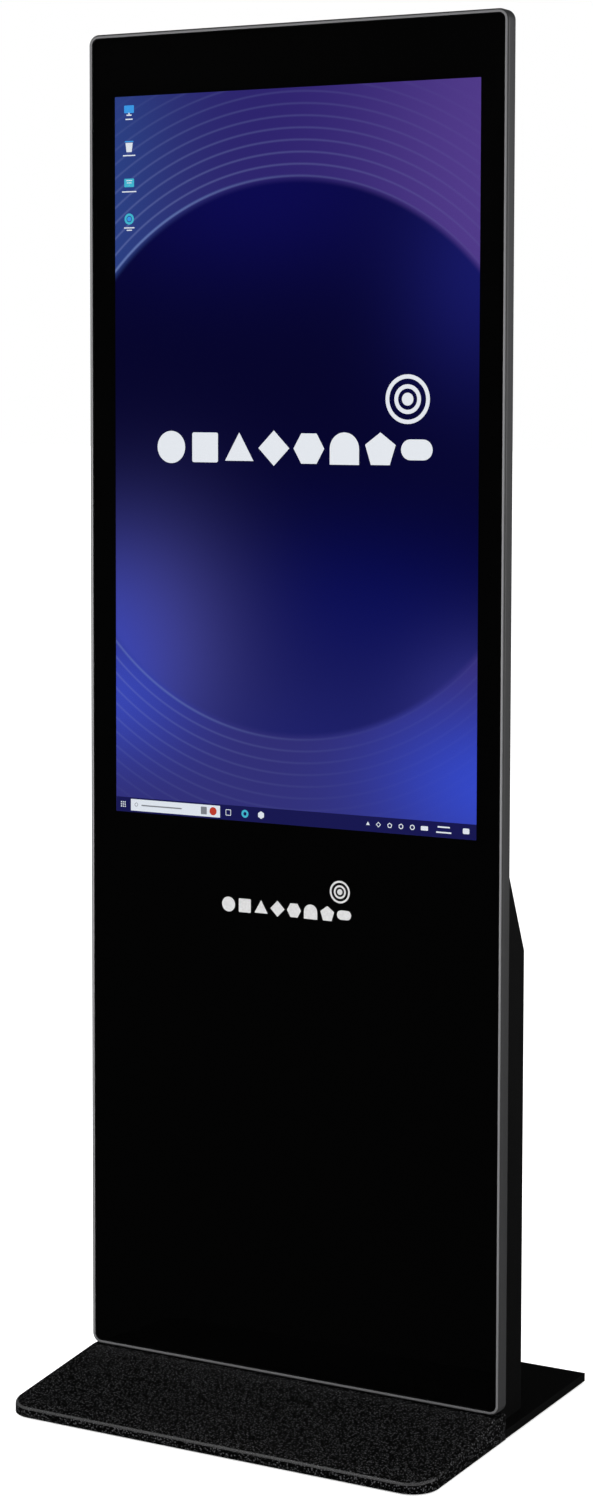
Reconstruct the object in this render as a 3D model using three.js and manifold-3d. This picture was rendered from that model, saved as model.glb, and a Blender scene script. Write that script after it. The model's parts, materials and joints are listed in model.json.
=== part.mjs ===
// Free-standing touchscreen kiosk: a 43 inch portrait display behind a full-height black glass,
// a slim rear cover, a deeper service cabinet below it, and a steel floor base with a ramp in front.
// Millimetres, +Z up, the glass faces -Y. The origin is the centre of the base on the floor.
import * as THREE from 'three';
import { mergeVertices } from 'three/addons/utils/BufferGeometryUtils.js';
import Module from 'manifold-3d';

const wasm = await Module();
wasm.setup();

// ---- Driving dimensions -------------------------------------------------------------------
const GAP = 0.3; // assembly gap between pieces that touch
const PAST = 1; // how far a cutting tool runs past the face it cuts
const WELD = 1e-4; // vertices closer than this are one

// Front panel
const PANEL_W = 606;
const PANEL_H = 1750;
const PANEL_BOTTOM = 36;
const PANEL_TOP = PANEL_BOTTOM + PANEL_H;
const PANEL_MID = PANEL_BOTTOM + PANEL_H / 2;
const PANEL_CORNER = 14;
const FRONT_Y = -32;
const FRAME_DEPTH = 20;
const FRAME_LIP = 5;
const FRAME_SHELF = 10;
const FRAME_ROUND = 3;
const POCKET_DEPTH = 7;
const GLASS_RECESS = 0.5;
const GLASS_THICK = 4;
const GLASS_ARRIS = 0.5;
const OPENING_CORNER = 4;
const PRINT_THICK = 0.3;
const PRINT_INSET = 1;
const TAPE_INSET = 1.5;

// Display: active area of a 43 inch 16:9 module, turned upright
const SCREEN_W = 529.4;
const SCREEN_H = 941.2;
const SCREEN_BOTTOM = 763;
const SCREEN_MID = SCREEN_BOTTOM + SCREEN_H / 2;
const LCD_DEPTH = 5.6;
const LCD_THICK = 1.8;
const LCD_RIM = 2;
const LCD_SLACK = 2.5;
const LIGHT_GUIDE_THICK = 8;
const CHASSIS_SHEET = 1.5;
const CHASSIS_MARGIN = 8;
const CHASSIS_BACK = 20;

// Rear covers
const COVER_INSET = 17;
const COVER_HALF = PANEL_W / 2 - COVER_INSET;
const COVER_TOP = PANEL_TOP - COVER_INSET;
const COVER_DEPTH = 44;
const COVER_SHEET = 1.2;
const CABINET_DEPTH = 106;
const CABINET_SHOULDER = 610;
const CABINET_TOP = 745;
const CABINET_SHEET = 1.5;
const SHEET_BEND = 4;
const FLANGE = 10;

// Base
const BASE_W = PANEL_W;
const BASE_D = 480;
const BASE_CORNER = 35;
const PAD_H = 1.7;
const PAD_W = 70;
const PAD_D = 40;
const PAD_CORNER = 8;
const PAD_X = 245;
const PAD_FRONT_Y = -185;
const PAD_REAR_Y = 205;
const PLATE_BOTTOM = 2;
const PLATE_TOP = 13;
const PLATE_FRONT_SETBACK = 25;
const PLATE_CORNER = 23;
const RAMP_SHEET = 2;
const RAMP_LOW = 14;
const RAMP_HIGH = 35;
const RAMP_CLEARANCE = 1.5;
const RAMP_BEND = 4;

// Inner structure
const UPRIGHT_X = 170;
const UPRIGHT_W = 16;
const UPRIGHT_FRONT = 22;
const UPRIGHT_BACK = 41.5;
const UPRIGHT_TOP = 1700;
const STEEL = 2;
const FOOT_W = 90;
const FOOT_D = 60;
const FOOT_H = 6;
const BOLT_X = 28;
const BOLT_Y = 30;
const BOLT_R = 5;
const BOLT_HOLE_R = 5.5;
const BOLT_HEAD_R = 9.2;
const BOLT_HEAD_H = 6.4;
const CROSSBAR_H = 40;
const CROSSBAR_Z = { lower: 620, upper: 1660 };
const BRACKET_H = 40;
const BRACKET_SHEET = 1.5;
const BRACKET_REACH = 30;
const BRACKET_OVERLAP = 5;
const BRACKET_Z = [800, 1600];

// Service door in the cabinet's rear wall
const DOOR_HALF_W = 190;
const DOOR_BOTTOM = 100;
const DOOR_TOP = 480;
const DOOR_CORNER = 8;
const DOOR_CLEARANCE = 2;
const DOOR_FLANGE = 12;
const JAMB_FLANGE = 12.5;
const HINGE_X = 193;
const HINGE_LIFT = 5;
const HINGE_Z = [170, 410];
const KNUCKLE_R = 4.5;
const HINGE_LENGTH = 40;
const LEAF_W = 24;
const LEAF_THICK = 2;
const LOCK_X = -165;
const LOCK_Z = 290;
const COLLAR_R = 11;
const COLLAR_H = 2.5;
const SLEEVE_R = 8;
const SLEEVE_HOLE_R = 8.3;
const PIN_R = 2.5;
const PIN_HEAD_R = 3.6;
const PIN_HEAD_H = 2;

// Cooling, sound and the connection row under the door
const COVER_SLOTS = 8; // in each of the slim cover's four vent groups
const COVER_SLOT_X = 70;
const COVER_SLOT_PITCH = 14;
const COVER_SLOT_LENGTH = 60;
const COVER_SLOT_INSET = 75;
const SLOT_WIDTH = 5;
const VENT_Z = 545;
const VENT_PITCH = 10;
const FAN_SLOT_LENGTH = 64;
const SPEAKER_SLOT_LENGTH = 44;
const SPEAKER_SLOT_WIDTH = 4;
const DOOR_SLOTS = 6;
const DOOR_SLOT_X = 60;
const DOOR_SLOT_LENGTH = 90;
const DOOR_SLOT_INSET = 35;
const DOOR_SLOT_PITCH = 12;
const FAN_X = 75;
const FAN_SIZE = 80;
const FAN_DEPTH = 25;
const FAN_BORE_R = 37.8;
const FAN_HUB_R = 15;
const FAN_STRUT = 4;
const FAN_STRUT_DEPTH = 3;
const FAN_SCREW_REACH = 35.75;
const FAN_SCREW_R = 2.2;
const FAN_AXLE_R = 2;
const FAN_BLADES = 7;
const FAN_BLADE_PITCH = 38; // degrees
const SPEAKER_X = 205;
const SLOT_FLAT = 0.01; // short straight left at a slot's round ends
const CONNECT_Z = 56;
const INLET_X = 110;
const PORTS_X = -30;
const BUTTON_X = -150;
const INLET_BODY_HALF_W = 37;
const INLET_BODY_HALF_H = 13.5;
const PORTS_BODY_HALF_W = 38;
const PORTS_BODY_HALF_H = 10;

// Depths measured back from the front face, as row coordinates
const at = (depth) => FRONT_Y + depth;
const REAR_Y = at(CABINET_DEPTH);
const REAR_IN = REAR_Y - CABINET_SHEET;
const COVER_FRONT_Y = at(FRAME_DEPTH) + GAP;
const HINGE_Y = REAR_Y + HINGE_LIFT;
const ON_REAR = REAR_Y + GAP;
const INLET_FRONT_Y = REAR_Y - 30;
const SOCKET_FLOOR_Y = REAR_Y - 16;

// ---- Solids -------------------------------------------------------------------------------
const SWAP_X = new THREE.Matrix4().set(0, 0, 1, 0, 1, 0, 0, 0, 0, 1, 0, 0, 0, 0, 0, 1);
const SWAP_Y = new THREE.Matrix4().set(1, 0, 0, 0, 0, 0, -1, 0, 0, 1, 0, 0, 0, 0, 0, 1);

function solid(geometry) {
  const source = geometry.clone();
  source.deleteAttribute('normal');
  source.deleteAttribute('uv');
  const merged = mergeVertices(source, WELD);
  const mesh = new wasm.Mesh({
    numProp: 3,
    vertProperties: new Float32Array(merged.attributes.position.array),
    triVerts: new Uint32Array(merged.index.array),
  });
  return new wasm.Manifold(mesh);
}

function geometryOf(body) {
  const mesh = body.getMesh();
  const geometry = new THREE.BufferGeometry();
  geometry.setAttribute('position', new THREE.BufferAttribute(new Float32Array(mesh.vertProperties), 3));
  geometry.setIndex(new THREE.BufferAttribute(new Uint32Array(mesh.triVerts), 1));
  geometry.computeVertexNormals();
  return geometry;
}

function box(x0, x1, y0, y1, z0, z1) {
  const geometry = new THREE.BoxGeometry(x1 - x0, y1 - y0, z1 - z0);
  geometry.translate((x0 + x1) / 2, (y0 + y1) / 2, (z0 + z1) / 2);
  return solid(geometry);
}

// A cylinder along Y between two depths
function rodY(radius, x, z, y0, y1, sides = 24) {
  const geometry = new THREE.CylinderGeometry(radius, radius, y1 - y0, sides);
  geometry.translate(x, (y0 + y1) / 2, z);
  return solid(geometry);
}

// A cylinder standing along Z
function rodZ(radius, x, y, z0, z1, sides = 24) {
  const geometry = new THREE.CylinderGeometry(radius, radius, z1 - z0, sides);
  geometry.rotateX(Math.PI / 2);
  geometry.translate(x, y, (z0 + z1) / 2);
  return solid(geometry);
}

function extruded(points, length) {
  return new THREE.ExtrudeGeometry(new THREE.Shape(points), { depth: length, bevelEnabled: false, steps: 1 });
}

// A prism along X from an outline of [y, z] points
function prismX(outline, x0, x1) {
  const geometry = extruded(outline.map(([y, z]) => new THREE.Vector2(y, z)), x1 - x0);
  geometry.applyMatrix4(SWAP_X);
  geometry.translate(x0, 0, 0);
  return solid(geometry);
}

// A prism along Y from an outline of [x, z] points
function prismY(outline, y0, y1) {
  const geometry = extruded(outline.map(([x, z]) => new THREE.Vector2(x, z)), y1 - y0);
  geometry.applyMatrix4(SWAP_Y);
  geometry.translate(0, y1, 0);
  return solid(geometry);
}

// A prism along Z from an outline of [x, y] points
function prismZ(outline, z0, z1) {
  const geometry = extruded(outline.map(([x, y]) => new THREE.Vector2(x, y)), z1 - z0);
  geometry.translate(0, 0, z0);
  return solid(geometry);
}

function arc(cu, cv, radius, from, to, steps) {
  const points = [];
  for (let i = 0; i <= steps; i += 1) {
    const angle = from + ((to - from) * i) / steps;
    points.push([cu + radius * Math.cos(angle), cv + radius * Math.sin(angle)]);
  }
  return points;
}

// A rectangle with round corners, centred on (cu, cv)
function roundedRect(cu, cv, width, height, radius, steps = 6) {
  const u = width / 2 - radius;
  const v = height / 2 - radius;
  const quarter = Math.PI / 2;
  return [
    ...arc(cu + u, cv + v, radius, 0, quarter, steps),
    ...arc(cu - u, cv + v, radius, quarter, 2 * quarter, steps),
    ...arc(cu - u, cv - v, radius, 2 * quarter, 3 * quarter, steps),
    ...arc(cu + u, cv - v, radius, 3 * quarter, 4 * quarter, steps),
  ];
}

// A closed skin through rings of equal length, each a convex outline, with flat ends
function loft(rings) {
  const count = rings[0].length;
  const positions = rings.flat(2);
  const index = [];
  for (let r = 0; r + 1 < rings.length; r += 1) {
    for (let i = 0; i < count; i += 1) {
      const a = r * count + i;
      const b = r * count + ((i + 1) % count);
      index.push(a, b, b + count, a, b + count, a + count);
    }
  }
  const last = (rings.length - 1) * count;
  for (let i = 1; i + 1 < count; i += 1) {
    index.push(0, i + 1, i, last, last + i, last + i + 1);
  }
  const geometry = new THREE.BufferGeometry();
  geometry.setAttribute('position', new THREE.Float32BufferAttribute(positions, 3));
  geometry.setIndex(index);
  return solid(geometry);
}

// A slab facing -Y with a round outline, whose front outer edge is rounded over
function roundedSlab(width, height, radius, y0, y1, edge) {
  const ring = (inset, y) =>
    roundedRect(0, PANEL_MID, width - 2 * inset, height - 2 * inset, radius - inset * 0.5, 8)
      .reverse()
      .map(([x, z]) => [x, y, z]);
  const rings = [];
  const steps = 4;
  for (let i = 0; i <= steps; i += 1) {
    const angle = (i / steps) * (Math.PI / 2);
    rings.push(ring(edge * (1 - Math.sin(angle)), y0 + edge * (1 - Math.cos(angle))));
  }
  rings.push(ring(0, y1));
  return loft(rings);
}

// The outline of a folded rear shell at one height: square at the front, bent at the rear corners
function shellRing(z, halfWidth, frontY, backY, bend) {
  const quarter = Math.PI / 2;
  const outline = [
    [-halfWidth, frontY],
    [halfWidth, frontY],
    ...arc(halfWidth - bend, backY - bend, bend, 0, quarter, 4),
    ...arc(-halfWidth + bend, backY - bend, bend, quarter, 2 * quarter, 4),
  ];
  return outline.map(([x, y]) => [x, y, z]);
}

// An opening with round ends, through a wall that faces Y
function slotY(x, z, length, width, y0, y1, upright = false) {
  const w = upright ? width : length;
  const h = upright ? length : width;
  return prismY(roundedRect(x, z, w, h, width / 2 - SLOT_FLAT, 2), y0, y1);
}

function joined(bodies) {
  return bodies.reduce((sum, body) => sum.add(body));
}

function cutBy(body, tools) {
  return tools.length ? body.subtract(joined(tools)) : body;
}

// ---- Materials ----------------------------------------------------------------------------
const paint = (color, roughness, metalness) => new THREE.MeshStandardMaterial({ color, roughness, metalness });
const MATERIALS = {
  anodised: paint(0x7d7f83, 0.35, 0.9),
  blackGlass: paint(0x030304, 0.05, 0),
  blackPrint: paint(0x020203, 0.4, 0),
  screen: paint(0x141a5c, 0.2, 0),
  powderCoat: paint(0x17181a, 0.6, 0.1),
  zinc: paint(0xb4b7ba, 0.4, 0.9),
  rubber: paint(0x111111, 0.9, 0),
  plastic: paint(0x1a1a1c, 0.5, 0),
  board: paint(0x0f4a2c, 0.5, 0),
  chrome: paint(0xd0d2d4, 0.2, 1),
  tape: paint(0x2a2a2a, 0.9, 0),
  paper: paint(0x24211f, 0.8, 0),
};

const kiosk = new THREE.Group();

function place(name, body, material) {
  const mesh = new THREE.Mesh(geometryOf(body), MATERIALS[material]);
  mesh.name = name;
  kiosk.add(mesh);
}

// ---- Base ---------------------------------------------------------------------------------
// Footprint of the base: round front corners, square rear ones
function footprint(inset, frontY, backY, radius) {
  const half = BASE_W / 2 - inset;
  const quarter = Math.PI / 2;
  return [
    ...arc(-half + radius, frontY + radius, radius, 2 * quarter, 3 * quarter, 8),
    ...arc(half - radius, frontY + radius, radius, 3 * quarter, 4 * quarter, 8),
    [half, backY],
    [-half, backY],
  ];
}

const RAMP_END = at(FRAME_DEPTH);
const BASE_FRONT = -BASE_D / 2;
const BASE_BACK = BASE_D / 2;
const PLATE_INSET = RAMP_SHEET + GAP;

function basePlate() {
  const front = footprint(PLATE_INSET, BASE_FRONT + PLATE_FRONT_SETBACK, RAMP_END + PAST, PLATE_CORNER);
  const frontHalf = prismZ(front, PLATE_BOTTOM, PLATE_TOP);
  const rearHalf = box(-BASE_W / 2, BASE_W / 2, RAMP_END + GAP, BASE_BACK, PLATE_BOTTOM, PLATE_TOP);
  const holes = boltPlaces().map(([x, y]) => rodZ(BOLT_HOLE_R, x, y, 0, PLATE_TOP + PAST, 16));
  return cutBy(frontHalf.add(rearHalf), holes);
}

// Side outline of the ramp: an upright nose with a round bend, a slope up to the panel, a flat top
function rampOutline(sheet) {
  const nose = BASE_FRONT + sheet;
  const top = RAMP_HIGH - sheet;
  const bottom = RAMP_CLEARANCE - sheet;
  const slope = Math.atan2(RAMP_HIGH - RAMP_LOW, FRONT_Y - BASE_FRONT);
  const bend = RAMP_BEND - sheet;
  const centreY = nose + bend;
  const centreZ = top - (FRONT_Y - centreY) * Math.tan(slope) - bend / Math.cos(slope);
  const noseBend = arc(centreY, centreZ, bend, Math.PI, Math.PI / 2 + slope, 5);
  const end = RAMP_END - sheet;
  return [[nose, bottom], ...noseBend, [FRONT_Y, top], [end, top], [end, bottom]];
}

function baseRampCover() {
  const above = RAMP_HIGH + PAST;
  const outer = prismX(rampOutline(0), -BASE_W / 2, BASE_W / 2).intersect(
    prismZ(footprint(0, BASE_FRONT, 0, BASE_CORNER), 0, above),
  );
  const inner = prismX(rampOutline(RAMP_SHEET), -BASE_W / 2, BASE_W / 2).intersect(
    prismZ(footprint(RAMP_SHEET, BASE_FRONT + RAMP_SHEET, 0, BASE_CORNER - RAMP_SHEET), -PAST, above),
  );
  // The rear wall stands on the plate, so everything lower is open from the setback to the back
  const half = BASE_W / 2 - RAMP_SHEET;
  const setback = BASE_FRONT + PLATE_FRONT_SETBACK - PAST;
  const plateWay = box(-half, half, setback, RAMP_END + PAST, -PAST, PLATE_TOP + GAP);
  return outer.subtract(inner).subtract(plateWay);
}

function floorPad(x, y) {
  return prismZ(roundedRect(x, y, PAD_W, PAD_D, PAD_CORNER, 3), 0, PAD_H);
}

// ---- Uprights, crossbars and the bolts that hold them to the base --------------------------
function boltPlaces() {
  return [-1, 1].flatMap((side) => [-BOLT_X, BOLT_X].map((dx) => [side * UPRIGHT_X + dx, BOLT_Y]));
}

// A solid steel bar welded to a foot plate
function upright(side) {
  const x = side * UPRIGHT_X;
  const half = UPRIGHT_W / 2;
  const y0 = at(UPRIGHT_FRONT);
  const y1 = at(UPRIGHT_BACK);
  const bottom = PLATE_TOP + GAP;
  const bar = box(x - half, x + half, y0, y1, bottom, UPRIGHT_TOP);
  const foot = box(x - FOOT_W / 2, x + FOOT_W / 2, y0, y0 + FOOT_D, bottom, bottom + FOOT_H);
  const holes = [-BOLT_X, BOLT_X].map((dx) => rodZ(BOLT_HOLE_R, x + dx, BOLT_Y, 0, bottom + FOOT_H + PAST, 16));
  return cutBy(bar.add(foot), holes);
}

function uprightBolt([x, y]) {
  const seat = PLATE_TOP + FOOT_H + 2 * GAP;
  const head = rodZ(BOLT_HEAD_R, x, y, seat, seat + BOLT_HEAD_H, 6);
  return head.add(rodZ(BOLT_R, x, y, PLATE_BOTTOM + GAP, seat + PAST, 16));
}

function crossbar(z) {
  const half = UPRIGHT_X - UPRIGHT_W / 2 - GAP;
  const y0 = at(UPRIGHT_FRONT + 1);
  const y1 = at(UPRIGHT_BACK - 1.5);
  const low = z - CROSSBAR_H / 2;
  const high = z + CROSSBAR_H / 2;
  return box(-half, half, y0, y1, low, high).subtract(
    box(-half - PAST, half + PAST, y0 + STEEL, y1 + PAST, low + STEEL, high - STEEL),
  );
}

// ---- Front panel --------------------------------------------------------------------------
const POCKET_W = PANEL_W - 2 * FRAME_LIP;
const POCKET_H = PANEL_H - 2 * FRAME_LIP;
const POCKET_CORNER = PANEL_CORNER - FRAME_LIP;
const OPENING_W = POCKET_W - 2 * FRAME_SHELF;
const OPENING_H = POCKET_H - 2 * FRAME_SHELF;

function frontFrame() {
  const outer = roundedSlab(PANEL_W, PANEL_H, PANEL_CORNER, FRONT_Y, at(FRAME_DEPTH), FRAME_ROUND);
  const pocket = prismY(
    roundedRect(0, PANEL_MID, POCKET_W, POCKET_H, POCKET_CORNER, 6),
    FRONT_Y - PAST,
    at(POCKET_DEPTH),
  );
  const opening = prismY(
    roundedRect(0, PANEL_MID, OPENING_W, OPENING_H, OPENING_CORNER, 3),
    FRONT_Y,
    at(FRAME_DEPTH) + PAST,
  );
  return outer.subtract(pocket).subtract(opening);
}

function frontGlass() {
  const width = POCKET_W - 2 * GAP;
  const height = POCKET_H - 2 * GAP;
  const front = at(GLASS_RECESS);
  return roundedSlab(width, height, POCKET_CORNER - GAP, front, front + GLASS_THICK, GLASS_ARRIS);
}

// A flat ring that fills the frame's pocket, less an inset, round a rectangular window
function ringSheet(inset, windowW, windowH, windowMid, y0, y1) {
  const width = POCKET_W - 2 * inset;
  const height = POCKET_H - 2 * inset;
  const outer = prismY(roundedRect(0, PANEL_MID, width, height, POCKET_CORNER - inset, 4), y0, y1);
  const low = windowMid - windowH / 2;
  return outer.subtract(box(-windowW / 2, windowW / 2, y0 - PAST, y1 + PAST, low, low + windowH));
}

// Black border behind the glass, open where the screen shows
function bezelMask() {
  const front = at(GLASS_RECESS + GLASS_THICK) + GAP;
  return ringSheet(PRINT_INSET, SCREEN_W, SCREEN_H, SCREEN_MID, front, front + PRINT_THICK);
}

// Foam tape between the glass and the frame's shelf
function glassSeal() {
  const front = at(GLASS_RECESS + GLASS_THICK) + GAP + PRINT_THICK + GAP;
  const windowW = OPENING_W + 2 * TAPE_INSET;
  const windowH = OPENING_H + 2 * TAPE_INSET;
  return ringSheet(TAPE_INSET, windowW, windowH, PANEL_MID, front, at(POCKET_DEPTH) - GAP);
}

const LCD_FRONT = at(LCD_DEPTH);

// A plate over the whole lit area, with a margin all round
function behindGlass(margin, y0, y1) {
  const half = SCREEN_W / 2 + margin;
  return box(-half, half, y0, y1, SCREEN_BOTTOM - margin, SCREEN_BOTTOM + SCREEN_H + margin);
}

function lcdPanel() {
  return behindGlass(LCD_RIM, LCD_FRONT, LCD_FRONT + LCD_THICK);
}

// Folded steel tray, open to the front, that holds the light guide and the panel
function lcdChassis() {
  const outer = behindGlass(CHASSIS_MARGIN, LCD_FRONT, at(CHASSIS_BACK));
  return outer.subtract(behindGlass(LCD_SLACK, LCD_FRONT - PAST, at(CHASSIS_BACK) - CHASSIS_SHEET));
}

function lightGuide() {
  const front = LCD_FRONT + LCD_THICK + GAP;
  return behindGlass(LCD_RIM, front, front + LIGHT_GUIDE_THICK);
}

// Angle bracket that holds the chassis to an upright
function lcdBracket(side, z) {
  const inner = UPRIGHT_X - UPRIGHT_W / 2 - BRACKET_OVERLAP;
  const outer = UPRIGHT_X + UPRIGHT_W / 2 + GAP;
  const y0 = at(CHASSIS_BACK) + GAP;
  const y1 = at(UPRIGHT_FRONT) - GAP;
  const low = z - BRACKET_H / 2;
  const high = z + BRACKET_H / 2;
  const plate = box(inner, outer + BRACKET_REACH, y0, y1, low, high);
  const flange = box(outer, outer + BRACKET_SHEET, y0, at(UPRIGHT_BACK) - BRACKET_SHEET, low, high);
  const bracket = plate.add(flange);
  return side > 0 ? bracket : bracket.mirror([1, 0, 0]);
}

// ---- Rear covers --------------------------------------------------------------------------
function upperCover() {
  const bottom = CABINET_TOP + GAP;
  const back = at(COVER_DEPTH);
  const rings = [shellRing(bottom, COVER_HALF, COVER_FRONT_Y, back, SHEET_BEND)];
  const steps = 4;
  for (let i = 0; i <= steps; i += 1) {
    const angle = (i / steps) * (Math.PI / 2);
    const inset = SHEET_BEND * (1 - Math.cos(angle));
    const z = COVER_TOP - SHEET_BEND * (1 - Math.sin(angle));
    rings.push(shellRing(z, COVER_HALF - inset, COVER_FRONT_Y, back - inset, SHEET_BEND));
  }
  const innerHalf = COVER_HALF - COVER_SHEET;
  const innerBack = back - COVER_SHEET;
  const cavity = box(
    -innerHalf,
    innerHalf,
    COVER_FRONT_Y + COVER_SHEET,
    innerBack,
    bottom - PAST,
    COVER_TOP - COVER_SHEET,
  );
  const mouthHalf = innerHalf - FLANGE;
  const mouth = box(-mouthHalf, mouthHalf, COVER_FRONT_Y - PAST, innerBack, bottom - PAST, COVER_TOP - FLANGE);
  const slots = [];
  for (const side of [-1, 1]) {
    for (let i = 0; i < COVER_SLOTS; i += 1) {
      const x = side * (COVER_SLOT_X + i * COVER_SLOT_PITCH);
      for (const z of [COVER_TOP - COVER_SLOT_INSET, CABINET_TOP + COVER_SLOT_INSET]) {
        slots.push(slotY(x, z, COVER_SLOT_LENGTH, SLOT_WIDTH, innerBack - PAST, back + PAST, true));
      }
    }
  }
  return cutBy(loft(rings).subtract(cavity).subtract(mouth), slots);
}

// The sloped shoulder brings the deep cabinet back to the slim cover's depth
function cabinetRings(sheet, low, high) {
  const half = COVER_HALF - sheet;
  const bend = SHEET_BEND - sheet;
  const front = COVER_FRONT_Y + sheet;
  return [
    shellRing(low, half, front, REAR_Y - sheet, bend),
    shellRing(CABINET_SHOULDER, half, front, REAR_Y - sheet, bend),
    shellRing(high, half, front, at(COVER_DEPTH) - sheet, bend),
  ];
}

function ventSlots() {
  const slots = [];
  const y0 = REAR_IN - PAST;
  const y1 = REAR_Y + PAST;
  for (const side of [-1, 1]) {
    for (let row = -3; row <= 3; row += 1) {
      slots.push(slotY(side * FAN_X, VENT_Z + row * VENT_PITCH, FAN_SLOT_LENGTH, SLOT_WIDTH, y0, y1));
    }
    for (let row = -2; row <= 2; row += 1) {
      const z = VENT_Z + row * VENT_PITCH;
      slots.push(slotY(side * SPEAKER_X, z, SPEAKER_SLOT_LENGTH, SPEAKER_SLOT_WIDTH, y0, y1));
    }
  }
  return slots;
}

function cabinetShell() {
  const bottom = PLATE_TOP + GAP;
  const outer = loft(cabinetRings(0, bottom, CABINET_TOP));
  const cavity = loft(cabinetRings(CABINET_SHEET, bottom - PAST, CABINET_TOP));
  const topHole = box(
    -COVER_HALF + CABINET_SHEET,
    COVER_HALF - CABINET_SHEET,
    COVER_FRONT_Y + CABINET_SHEET,
    at(COVER_DEPTH) - CABINET_SHEET,
    CABINET_TOP - PAST,
    CABINET_TOP + PAST,
  );
  const mouthHalf = COVER_HALF - CABINET_SHEET - FLANGE;
  const mouthBack = COVER_FRONT_Y + CABINET_SHEET + PAST;
  const mouth = box(-mouthHalf, mouthHalf, COVER_FRONT_Y - PAST, mouthBack, bottom - PAST, CABINET_TOP + PAST);
  const hollow = outer.subtract(cavity).subtract(topHole).subtract(mouth);
  const doorMid = (DOOR_BOTTOM + DOOR_TOP) / 2;
  const doorH = DOOR_TOP - DOOR_BOTTOM;
  const jambOuter = prismY(
    roundedRect(
      0,
      doorMid,
      2 * (DOOR_HALF_W + CABINET_SHEET),
      doorH + 2 * CABINET_SHEET,
      DOOR_CORNER + CABINET_SHEET,
      4,
    ),
    REAR_IN - JAMB_FLANGE,
    REAR_IN + CABINET_SHEET / 3,
  );
  const doorway = prismY(
    roundedRect(0, doorMid, 2 * DOOR_HALF_W, doorH, DOOR_CORNER, 4),
    REAR_IN - JAMB_FLANGE - PAST,
    REAR_Y + PAST,
  );
  const holeFor = (x, halfW, halfH) =>
    box(x - halfW, x + halfW, REAR_IN - PAST, REAR_Y + PAST, CONNECT_Z - halfH, CONNECT_Z + halfH);
  const holes = [
    ...ventSlots(),
    holeFor(INLET_X, INLET_BODY_HALF_W + 2 * GAP, INLET_BODY_HALF_H + 2 * GAP),
    holeFor(PORTS_X, PORTS_BODY_HALF_W + 2 * GAP, PORTS_BODY_HALF_H + 2 * GAP),
    rodY(SLEEVE_HOLE_R, BUTTON_X, CONNECT_Z, REAR_IN - PAST, REAR_Y + PAST, 20),
  ];
  return cutBy(hollow.add(jambOuter).subtract(doorway), holes);
}

// ---- Service door, its hinges and its lock ------------------------------------------------
function serviceDoor() {
  const mid = (DOOR_BOTTOM + DOOR_TOP) / 2;
  const width = 2 * (DOOR_HALF_W - DOOR_CLEARANCE);
  const height = DOOR_TOP - DOOR_BOTTOM - 2 * DOOR_CLEARANCE;
  const corner = DOOR_CORNER - DOOR_CLEARANCE;
  const inside = REAR_IN - DOOR_FLANGE + CABINET_SHEET;
  const tray = prismY(roundedRect(0, mid, width, height, corner, 4), inside, REAR_Y);
  const hollow = prismY(
    roundedRect(0, mid, width - 2 * CABINET_SHEET, height - 2 * CABINET_SHEET, corner - CABINET_SHEET, 4),
    inside - PAST,
    REAR_IN,
  );
  const slots = [];
  for (const side of [-1, 1]) {
    for (let row = 0; row < DOOR_SLOTS; row += 1) {
      const z = DOOR_BOTTOM + DOOR_SLOT_INSET + row * DOOR_SLOT_PITCH;
      slots.push(slotY(side * DOOR_SLOT_X, z, DOOR_SLOT_LENGTH, SLOT_WIDTH, REAR_IN - PAST, REAR_Y + PAST));
    }
  }
  slots.push(rodY(SLEEVE_HOLE_R, LOCK_X, LOCK_Z, REAR_IN - PAST, REAR_Y + PAST, 20));
  return cutBy(tray.subtract(hollow), slots);
}

// One leaf of a butt hinge. The fixed leaf has the middle knuckle, the moving leaf the outer two.
function hingeLeaf(z, moving) {
  const half = HINGE_LENGTH / 2;
  const third = 8; // half the middle knuckle's length
  const side = moving ? -1 : 1;
  const near = KNUCKLE_R + 0.7;
  const y0 = ON_REAR;
  const y1 = ON_REAR + LEAF_THICK;
  const span = (a, b) => [HINGE_X + Math.min(side * a, side * b), HINGE_X + Math.max(side * a, side * b)];
  const plate = box(...span(near, near + LEAF_W), y0, y1, z - half, z + half);
  const ranges = moving
    ? [
        [z - half, z - third - GAP],
        [z + third + GAP, z + half],
      ]
    : [[z - third, z + third]];
  const knuckles = ranges.flatMap(([z0, z1]) => [
    box(...span(0, near + PAST), y0, y1, z0, z1),
    rodZ(KNUCKLE_R, HINGE_X, HINGE_Y, z0, z1, 20),
  ]);
  const bore = rodZ(PIN_R + 0.1, HINGE_X, HINGE_Y, z - half - PAST, z + half + PAST, 16);
  return joined([plate, ...knuckles]).subtract(bore);
}

function hingePin(z) {
  const half = HINGE_LENGTH / 2;
  const seat = z + half + GAP;
  const cap = rodZ(PIN_HEAD_R, HINGE_X, HINGE_Y, seat, seat + PIN_HEAD_H, 16);
  return rodZ(PIN_R, HINGE_X, HINGE_Y, z - half - PAST, seat + PAST, 16).add(cap);
}

const LOCK_BACK = REAR_IN - JAMB_FLANGE + 0.5;
const CAM_FRONT = LOCK_BACK - 2;
const CAM_THICK = 2;
const CAM_W = 13;
const CAM_H = 45;
const CAM_DROP = 14.5;
const BARREL_R = 5.5;
const TAIL_R = 2.8;
const NUT_H = 3.7;
const KEYWAY_W = 1.8;
const KEYWAY_H = 7.2;
const KEYWAY_DEPTH = 6;

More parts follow.
